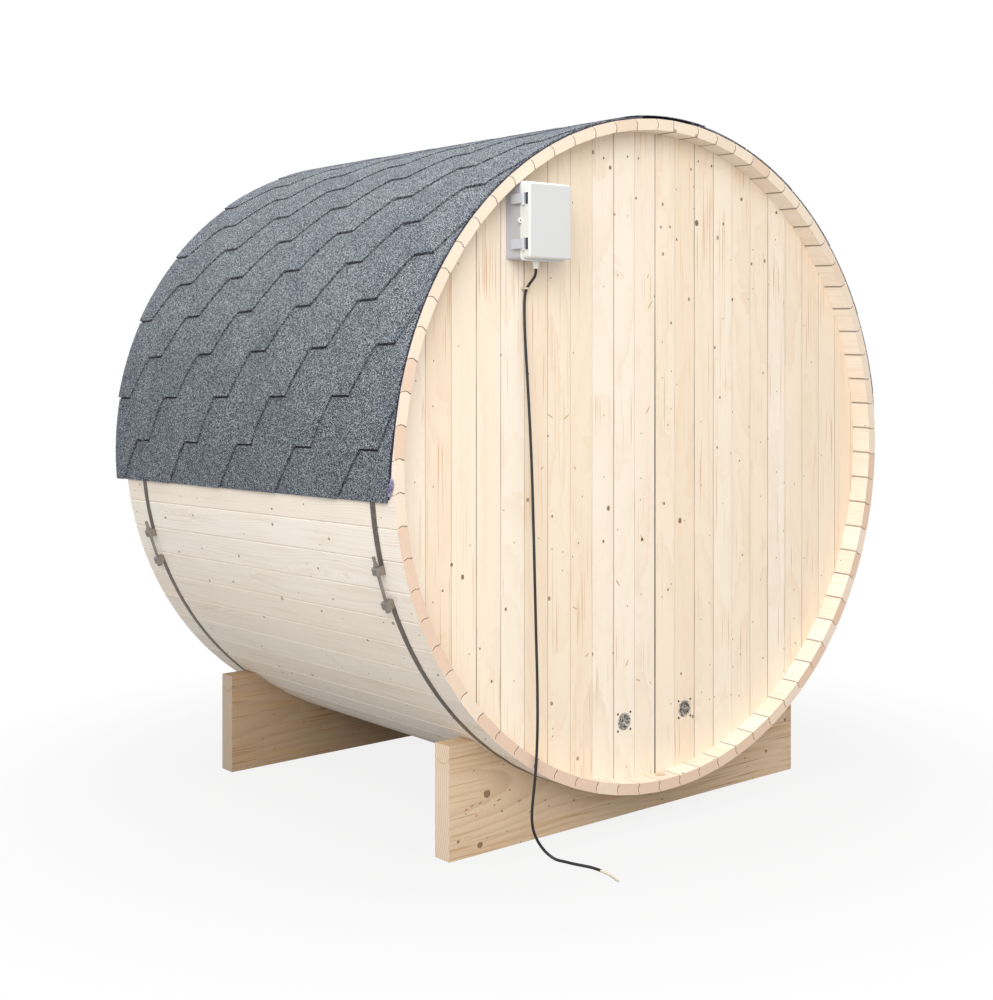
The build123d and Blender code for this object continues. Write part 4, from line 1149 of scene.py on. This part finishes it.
# Across, up and the width of each knot; and across, up, the length and the lean of each spike or pocket.
KNOTS_MM = (
    (-204, 876, 7), (-178, 850, 10), (-107, 888, 6), (-62, 887, 6), (-72, 767, 7), (197, 899, 6),
    (257, 889, 7), (-163, 713, 6), (33, 686, 7), (72, 689, 7), (190, 707, 15), (311, 711, 8),
    (396, 794, 10), (565, 761, 9), (101, 652, 7), (444, 590, 8), (353, 473, 9), (77, 396, 7),
    (-763, -265, 9), (-726, -302, 11), (-575, -406, 8), (-625, -599, 7), (-205, -248, 8),
    (-185, -152, 12), (47, -153, 8), (116, -210, 14), (-47, -255, 9), (64, -417, 7), (121, -681, 7),
)
SPIKES_MM = (
    (-412, 126, 26, 60), (-351, 121, 30, -55), (-22, 133, 34, -35), (-442, -21, 12, -50),
    (-317, -27, 14, 40), (-47, -251, 24, 35), (-146, -376, 28, 38), (-317, -431, 22, 60),
    (-109, -618, 24, -30), (-63, -675, 20, 65), (-270, -573, 16, -60), (-13, 449, 34, -38),
    (-22, 536, 16, -30), (-158, 715, 12, 30),
)
CRADLE_KNOTS_MM = (
    (-587, -931, 25), (-612, -1069, 19), (-689, -1044, 10), (594, -1014, 12), (380, -1022, 9),
    (232, -1018, 7), (146, -1027, 9), (107, -1079, 7), (-533, -990, 7), (-155, -1002, 8),
    (490, -1019, 7), (690, -926, 12), (277, -972, 6),
)
PITCH_MM = (
    (-640, -954, 16, 62), (-661, -961, 12, 70), (-612, -952, 12, 58), (-544, -956, 18, 80),
    (-470, -973, 15, 76), (-372, -990, 12, 84), (-560, -968, 8, 60), (-625, -985, 7, 75),
    (-505, -935, 9, 80), (-430, -1012, 8, 70),
)


def branch_plug(x, y, z, width, height, tilt):
    """One branch end in a board, at millimetres, with its long side leaning by tilt degrees."""
    bpy.ops.object.select_all(action="DESELECT")
    bpy.ops.mesh.primitive_cylinder_add(vertices=PLUG_SIDES, radius=0.5, depth=PLUG_DEPTH,
                                        location=(0, 0, 0))
    plug = bpy.context.object
    work = bmesh.new()
    work.from_mesh(plug.data)
    for vertex in work.verts:
        grow = 1 + random.uniform(-PLUG_JITTER, PLUG_JITTER)
        vertex.co.x *= grow * width / 1000
        vertex.co.y *= grow * height / 1000
    front = [face for face in work.faces if face.normal.z > 0.9]
    bmesh.ops.inset_region(work, faces=front, thickness=width / 2000 * BARK_SHARE)
    for face in work.faces:
        face.material_index = 1
    for face in front:
        face.material_index = 0
    work.to_mesh(plug.data)
    work.free()
    plug.data.transform(Matrix.Rotation(math.radians(-tilt), 4, "Z"))
    plug.data.transform(Matrix.Rotation(math.radians(90), 4, "X"))
    plug.data.transform(Matrix.Translation(place(x, y, z)))
    return plug


def joined(name, plugs, kind, *finishes):
    """Joins the plugs of one board face into one piece with its own two finishes."""
    bpy.ops.object.select_all(action="DESELECT")
    for plug in plugs:
        paint(plug, *finishes)
        plug.select_set(True)
    bpy.context.view_layer.objects.active = plugs[0]
    bpy.ops.object.join()
    made = bpy.context.object
    made.name = name
    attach(made, "root")
    print(name, len(plugs))


joined("wall_knots",
       [branch_plug(x, WALL_PLUG_Y, z, width, width * 1.25, 0) for x, z, width in KNOTS_MM],
       "wall_spruce", knot_core, knot_ring)
joined("wall_spike_knots",
       [branch_plug(x, WALL_PLUG_Y, z, SPIKE_WIDTH_MM, length, -tilt) for x, z, length, tilt in SPIKES_MM],
       "wall_spruce", spike_core, spike_ring)
joined("cradle_knots",
       [branch_plug(x, CRADLE_PLUG_Y, z, width * 0.9, width, 90) for x, z, width in CRADLE_KNOTS_MM],
       "cradle_spruce", cradle_core, cradle_ring)
joined("cradle_pitch_pockets",
       [branch_plug(x, CRADLE_PLUG_Y, z, PITCH_WIDTH_MM, length, tilt) for x, z, length, tilt in PITCH_MM],
       "cradle_spruce", spike_ring, cradle_ring)
